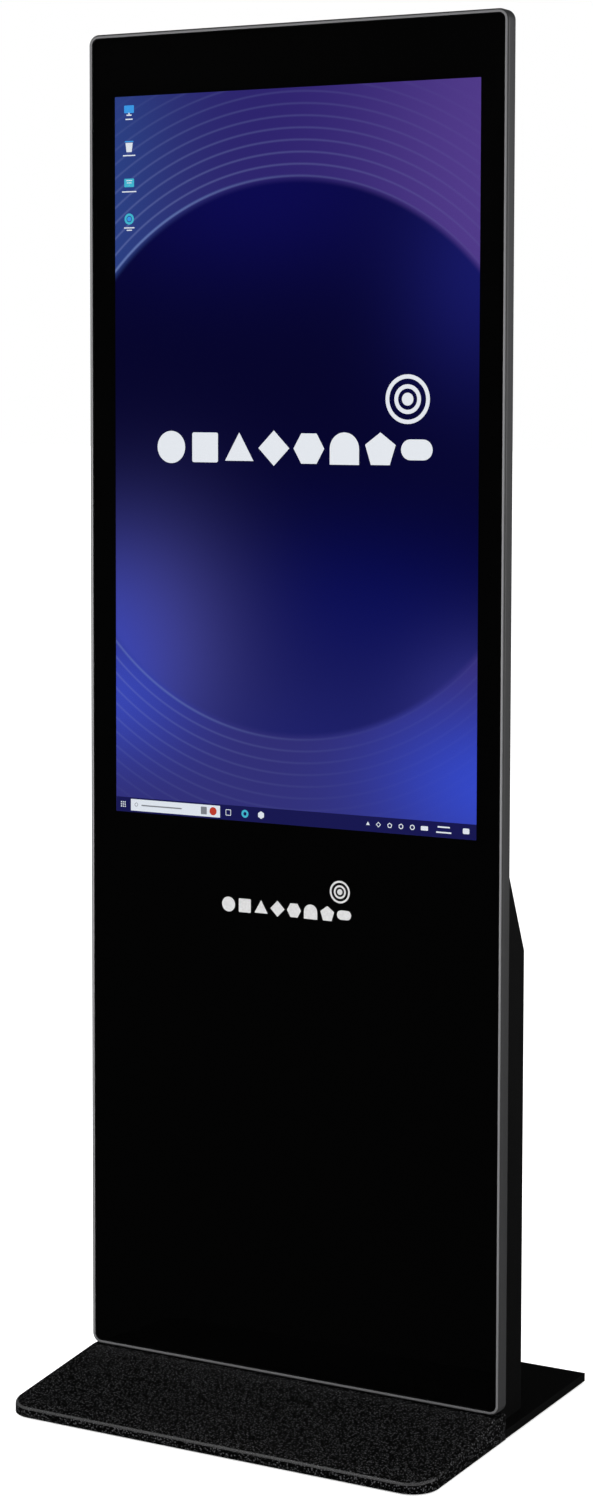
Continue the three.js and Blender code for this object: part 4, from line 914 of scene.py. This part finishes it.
def hinge_rod(level):
    """A hinge pin: a straight shaft with a low domed head."""
    node = f"hinge_pin_{level}"
    low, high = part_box(node)
    middle = (low + high) / 2
    head, shaft = (high.x - low.x) / 2, 2.5 * MM
    neck = high.z - 2.0 * MM
    profile = [(0, low.z), (shaft - 0.5 * MM, low.z), (shaft, low.z + 0.5 * MM), (shaft, neck)]
    profile += [(head, neck), (head, neck + 1.0 * MM)]
    profile += [(head * 0.8, high.z - 0.3 * MM), (head * 0.45, high.z), (0, high.z)]
    turned(f"hinge_rod_{level}", profile, (middle.x, middle.y), "kiosk", "chrome", node, axis="Z")


def round_fittings():
    lock_collar()
    push_button()
    for side in ("left", "right"):
        speaker(side)
    for level in ("lower", "upper"):
        hinge_rod(level)


def ring_of(name, profile, centre, body, slot, node=None, material=None):
    """A ring turned about an axis along Y: its profile closes on itself."""
    rings = [[(x, along, z) for x, z in circle(radius, *centre, sides=72)] for radius, along in profile]
    shaped(name, *skin(rings, closed=True), body, slot, node, material=material)


def speaker(side):
    """Pressed basket, rolled rubber surround, paper cone and dust cap."""
    node = f"speaker_{side}"
    low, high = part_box(node)
    centre = face_centre(node)
    face = high.y
    rim = (high.x - low.x) / 2
    profile = [(0, low.y), (20 * MM, low.y), (20 * MM, face - 20 * MM), (rim, face - 4 * MM), (rim, face)]
    profile += [(rim - 3.5 * MM, face), (rim - 3.5 * MM, face - 1.6 * MM), (0, face - 12 * MM)]
    turned(f"speaker_basket_{side}", profile, centre, "kiosk", "zinc_steel", node, material=BLACK_STEEL)
    roll = []
    for k in range(9):
        a = math.pi * k / 8
        roll.append(((27.5 + 2 * math.cos(a)) * MM, face - (1.4 - 1.0 * math.sin(a)) * MM))
    roll += [(25.5 * MM, face - 2.0 * MM), (29.5 * MM, face - 2.0 * MM)]
    ring_of(f"speaker_surround_{side}", roll, centre, "kiosk", "rubber")
    cone = [(25.6 * MM, face - 1.5 * MM)]
    cone += [(r * MM, face - (1.5 + (25.6 - r) * 0.55) * MM) for r in (22, 18, 14, 10)]
    dome = [math.radians(15 * k) for k in range(6)]
    cap = [(9.6 * math.cos(a) * MM, face - (10.2 - 3.4 * math.sin(a)) * MM) for a in dome]
    profile = cone + cap + [(0, face - 6.8 * MM)]
    turned(f"speaker_cone_{side}", profile, centre, "kiosk", "speaker_cone", None)


class Blocks:
    """Small boxes gathered into one mesh."""

    def __init__(self, name, body, slot, material=None):
        self.name, self.body, self.slot, self.material = name, body, slot, material
        self.points, self.faces = [], []

    def add(self, low, high, turn=None):
        base = len(self.points)
        xs, ys, zs = zip(low, high)
        corners = [Vector((x, y, z)) for x in xs for y in ys for z in zs]
        self.points += [turn @ c if turn else c for c in corners]
        sides = ((0, 1, 3, 2), (4, 6, 7, 5), (0, 4, 5, 1), (2, 3, 7, 6), (0, 2, 6, 4), (1, 5, 7, 3))
        self.faces += [tuple(base + i for i in side) for side in sides]

    def finish(self, edge=0.15 * MM):
        mesh = mesh_from(self.name, self.points, self.faces)
        obj = piece(self.name, mesh, self.body, self.slot, self.material)
        if edge:
            soften(obj, edge)


# Depths below the cabinet's back
SOCKET_FLOOR = 11.7 * MM
PIN_ROOT = 15.9 * MM
PIN_TIP = 4.4 * MM


def socket_fittings():
    """Tongues, contacts and lights inside the sockets, and the inlet's three pins."""
    middle = (PORTS_LOW.x + PORTS_HIGH.x) / 2
    z = SOCKET_ROW_Z
    floor, mouth = REAR_Y - SOCKET_FLOOR, PORTS_HIGH.y - 1.0 * MM
    tongue = Blocks("usb_tongues", "kiosk", "black_plastic", BLUE_PLASTIC)
    contacts = Blocks("socket_contacts", "kiosk", "chrome", BRASS)
    shells = Blocks("socket_shells", "kiosk", "chrome")
    for lift in (-4.6, 4.6):
        x, zz = middle - 24 * MM, z + lift * MM
        tongue.add((x - 5.6 * MM, floor, zz + 0.4 * MM), (x + 5.6 * MM, mouth - 0.6 * MM, zz + 2.2 * MM))
        for k in range(4):
            cx = x + (k - 1.5) * 2.4 * MM
            tip = (cx + 0.5 * MM, mouth - 1.5 * MM, zz + 0.42 * MM)
            contacts.add((cx - 0.5 * MM, floor, zz + 0.2 * MM), tip)
        lining(shells, x, zz, 13.4 * MM, 5.8 * MM, floor, mouth)
    x = middle + 25 * MM
    lining(shells, x, z, 15.4 * MM, 5.8 * MM, floor, mouth)
    inner = Blocks("video_tongue", "kiosk", "black_plastic")
    inner.add((x - 5.8 * MM, floor, z - 0.8 * MM), (x + 5.8 * MM, mouth - 1.5 * MM, z + 0.8 * MM))
    inner.finish()
    x = middle + 2 * MM
    lining(shells, x, z, 13.4 * MM, 11.4 * MM, floor, mouth)
    for k in range(8):
        cx = x + (k - 3.5) * 1.1 * MM
        contacts.add((cx - 0.25 * MM, floor, z + 2.6 * MM), (cx + 0.25 * MM, mouth - 4 * MM, z + 3.2 * MM))
    green = Blocks("network_light", "kiosk", "black_plastic", glowing("network_green", (0.08, 0.8, 0.18)))
    green.add((x - 5.8 * MM, mouth - 1.2 * MM, z + 4.2 * MM), (x - 3.6 * MM, mouth, z + 5.2 * MM))
    green.finish()
    for blocks in (tongue, contacts, shells):
        blocks.finish(0.08 * MM)
    low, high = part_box("inlet_module")
    socket_x = (low.x + high.x) / 2 - 20 * MM
    root, tip = REAR_Y - PIN_ROOT, REAR_Y - PIN_TIP
    pins = Blocks("inlet_pins", "kiosk", "chrome")
    for dx, dz in ((-7, -1.5), (0, 2.5), (7, -1.5)):
        px, pz = socket_x + dx * MM, z + dz * MM
        pins.add((px - 1.06 * MM, root, pz - 2.06 * MM), (px + 1.06 * MM, tip, pz + 2.06 * MM))
    pins.finish(0.4 * MM)


def lining(blocks, x, z, width, height, y0, y1):
    """A thin metal sleeve inside a rectangular socket."""
    sheet = 0.3 * MM
    for side in (-1, 1):
        wall = x + side * (width - sheet) / 2
        blocks.add((wall - sheet / 2, y0, z - height / 2), (wall + sheet / 2, y1, z + height / 2))
        roof = z + side * (height - sheet) / 2
        reach = width / 2 - sheet
        blocks.add((x - reach, y0, roof - sheet / 2), (x + reach, y1, roof + sheet / 2))


def rocker_marks():
    """On and off marks, moulded in white on the rocker's two faces."""
    low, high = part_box("power_rocker")
    x = (low.x + high.x) / 2
    axis = Vector((x, REAR_Y - 2.5 * MM, SOCKET_ROW_Z))
    rest = Matrix.Rotation(math.radians(-10), 4, "X")
    marks = Blocks("rocker_marks", "rocker", "black_plastic", WHITE_PAINT)
    for side in (-1, 1):
        lean = Matrix.Rotation(math.atan2(-side * 2.2, 9.6), 4, "X")
        centre = Vector((0, 3.1 * MM, side * 4.8 * MM))
        turn = Matrix.Translation(axis) @ rest @ Matrix.Translation(centre) @ lean
        if side > 0:
            marks.add((-0.4 * MM, -0.1 * MM, -2 * MM), (0.4 * MM, 0.12 * MM, 2 * MM), turn)
            continue
        parts = 16
        for k in range(parts):
            spin = Matrix.Rotation(2 * math.pi * k / parts, 4, "Y")
            marks.add((-0.45 * MM, -0.1 * MM, 1.7 * MM), (0.45 * MM, 0.12 * MM, 2.3 * MM), turn @ spin)
    marks.finish(0)


# ---- Everything else from the CAD, refined ----
# Made by a function of their own above
HAND_BUILT = {
    "front_frame", "front_glass", "base_ramp_cover", "lock_housing", "power_button_bezel", "power_button",
    "speaker_left", "speaker_right", "hinge_pin_lower", "hinge_pin_upper",
}
# Flat sheets that are right as they are
PLAIN = {"bezel_mask", "glass_seal", "lcd_panel", "light_guide"}
# How far a node's sharp edges are rounded, where it isn't the usual 0.3 mm
EDGES = {
    "base_plate": 0.8 * MM,
    "upper_cover": 0.35 * MM,
    "cabinet_shell": 0.35 * MM,
    "service_door": 0.35 * MM,
    "mini_pc": 0.6 * MM,
}
SMOOTH_COATED = {"base_plate", "upper_cover", "cabinet_shell", "service_door"}


def finish_cad_nodes():
    for node, obj in NODES.items():
        if node in HAND_BUILT:
            continue
        if node in PLAIN:
            obj.data.materials.clear()
            obj.data.materials.append(MATERIALS[SLOT_OF[node]])
            continue
        coat = SMOOTH_COAT if node in SMOOTH_COATED else None
        refined(node, EDGES.get(node, 0.3 * MM), coat)


# ---- Studio ----
MATT_WORLD = 0.8
GLOSS_WORLD = 0.012
FLOOR_REACH = 60
FLOOR_GLOW = 0.55


def world_light():
    """White to look at, soft light for matt surfaces, nearly black in glass and metal."""
    world = bpy.data.worlds.new("studio")
    bpy.context.scene.world = world
    world.use_nodes = True
    world.cycles.sampling_method = "NONE"
    tree = world.node_tree
    background = tree.nodes["Background"]
    background.inputs["Color"].default_value = (1, 1, 1, 1)
    path = tree.nodes.new("ShaderNodeLightPath")
    matt = tree.nodes.new("ShaderNodeMath")
    matt.operation = "MULTIPLY_ADD"
    tree.links.new(path.outputs["Is Diffuse Ray"], matt.inputs[0])
    matt.inputs[1].default_value = MATT_WORLD - GLOSS_WORLD
    matt.inputs[2].default_value = GLOSS_WORLD
    seen = tree.nodes.new("ShaderNodeMath")
    seen.operation = "MAXIMUM"
    tree.links.new(path.outputs["Is Camera Ray"], seen.inputs[0])
    tree.links.new(matt.outputs[0], seen.inputs[1])
    tree.links.new(seen.outputs[0], background.inputs["Strength"])


def studio_floor():
    """A pale floor that gives off light of its own, so that hardly a shadow shows on it."""
    ends = (-FLOOR_REACH, FLOOR_REACH)
    points = [(x, y, 0.0) for y in ends for x in ends]
    mesh = bpy.data.meshes.new("floor")
    mesh.from_pydata(points, [], [(0, 1, 3, 2)])
    floor = bpy.data.objects.new("floor", mesh)
    bpy.context.scene.collection.objects.link(floor)
    s = Shader("studio_floor", color=(0.92, 0.92, 0.92), rough=1.0, Specular_IOR_Level=0.0)
    s.set("Emission Color", (1, 1, 1, 1))
    s.set("Emission Strength", FLOOR_GLOW)
    mesh.materials.append(s.mat)
    floor.visible_glossy = False
    floor.visible_transmission = False


def area(name, location, target, size, power):
    light = bpy.data.lights.new(name, "AREA")
    light.shape = "RECTANGLE"
    light.size, light.size_y = size
    light.energy = power
    obj = bpy.data.objects.new(name, light)
    obj.location = location
    obj.rotation_euler = (Vector(target) - Vector(location)).to_track_quat("-Z", "Y").to_euler()
    obj.visible_camera = False
    bpy.context.scene.collection.objects.link(obj)
    return obj


def flagged(light, state, names):
    """Light linking: INCLUDE keeps the light to the named pieces, EXCLUDE keeps it off them."""
    group = bpy.data.collections.new(light.name + "_flags")
    for name in names:
        group.objects.link(bpy.data.objects[name])
    light.light_linking.receiver_collection = group
    for entry in group.collection_objects:
        entry.light_linking.link_state = state


def studio():
    """Six area lights. Three of them are linked, so they don't light every piece."""
    world_light()
    studio_floor()
    middle = (0, 0, 0.9)
    area("front_right", (2.9, -2.3, 1.2), middle, (0.9, 2.0), 10)
    area("top", (0.4, 0.4, 4.4), middle, (2.6, 1.6), 4)
    area("rear_right", (3.6, 1.9, 1.7), middle, (1.6, 2.4), 42)
    key = area("key", (-1.9, -1.3, 4.2), (0, 0, 0.3), (1.6, 1.2), 62)
    flagged(key, "EXCLUDE", ["frame_extrusion"])
    low_front = area("low_front", (-2.4, -4.0, 0.4), middle, (1.4, 1.4), 40)
    flagged(low_front, "INCLUDE", ["frame_extrusion"])
    rear = area("rear", (-1.6, 4.8, 2.4), middle, (3.0, 2.0), 330)
    flagged(rear, "EXCLUDE", ["frame_extrusion", "ramp_skin", "fine_base_plate", "floor"])


CAMERA_PLACE = (1.821, -3.319, 1.316)
# In degrees
CAMERA_TURN = 28.85
CAMERA_TIP = 90 - 3.99
CAMERA_ROLL = 0.12
# In millimetres
CAMERA_SENSOR = 36
CAMERA_LENS = 70.6
# As a share of the picture's longer side
CAMERA_SHIFT = -0.10


def camera():
    """Seen from the front right at eye height, as a visitor walks up to it."""
    data = bpy.data.cameras.new("camera")
    data.sensor_width = CAMERA_SENSOR
    data.lens = CAMERA_LENS
    data.shift_y = CAMERA_SHIFT
    obj = bpy.data.objects.new("camera", data)
    turn = Matrix.Rotation(math.radians(CAMERA_TURN), 4, "Z")
    tip = Matrix.Rotation(math.radians(CAMERA_TIP), 4, "X")
    roll = Matrix.Rotation(math.radians(CAMERA_ROLL), 4, "Z")
    obj.matrix_world = Matrix.Translation(CAMERA_PLACE) @ turn @ tip @ roll
    bpy.context.scene.collection.objects.link(obj)
    bpy.context.scene.camera = obj


camera()
bpy.context.scene.view_settings.view_transform = "Standard"
front_frame()
front_glass()
base_ramp_cover()
screen_picture()
printed_mark()
cover_screws()
hinge_screws()
fitting_screws()
round_fittings()
socket_fittings()
rocker_marks()
finish_cad_nodes()
studio()
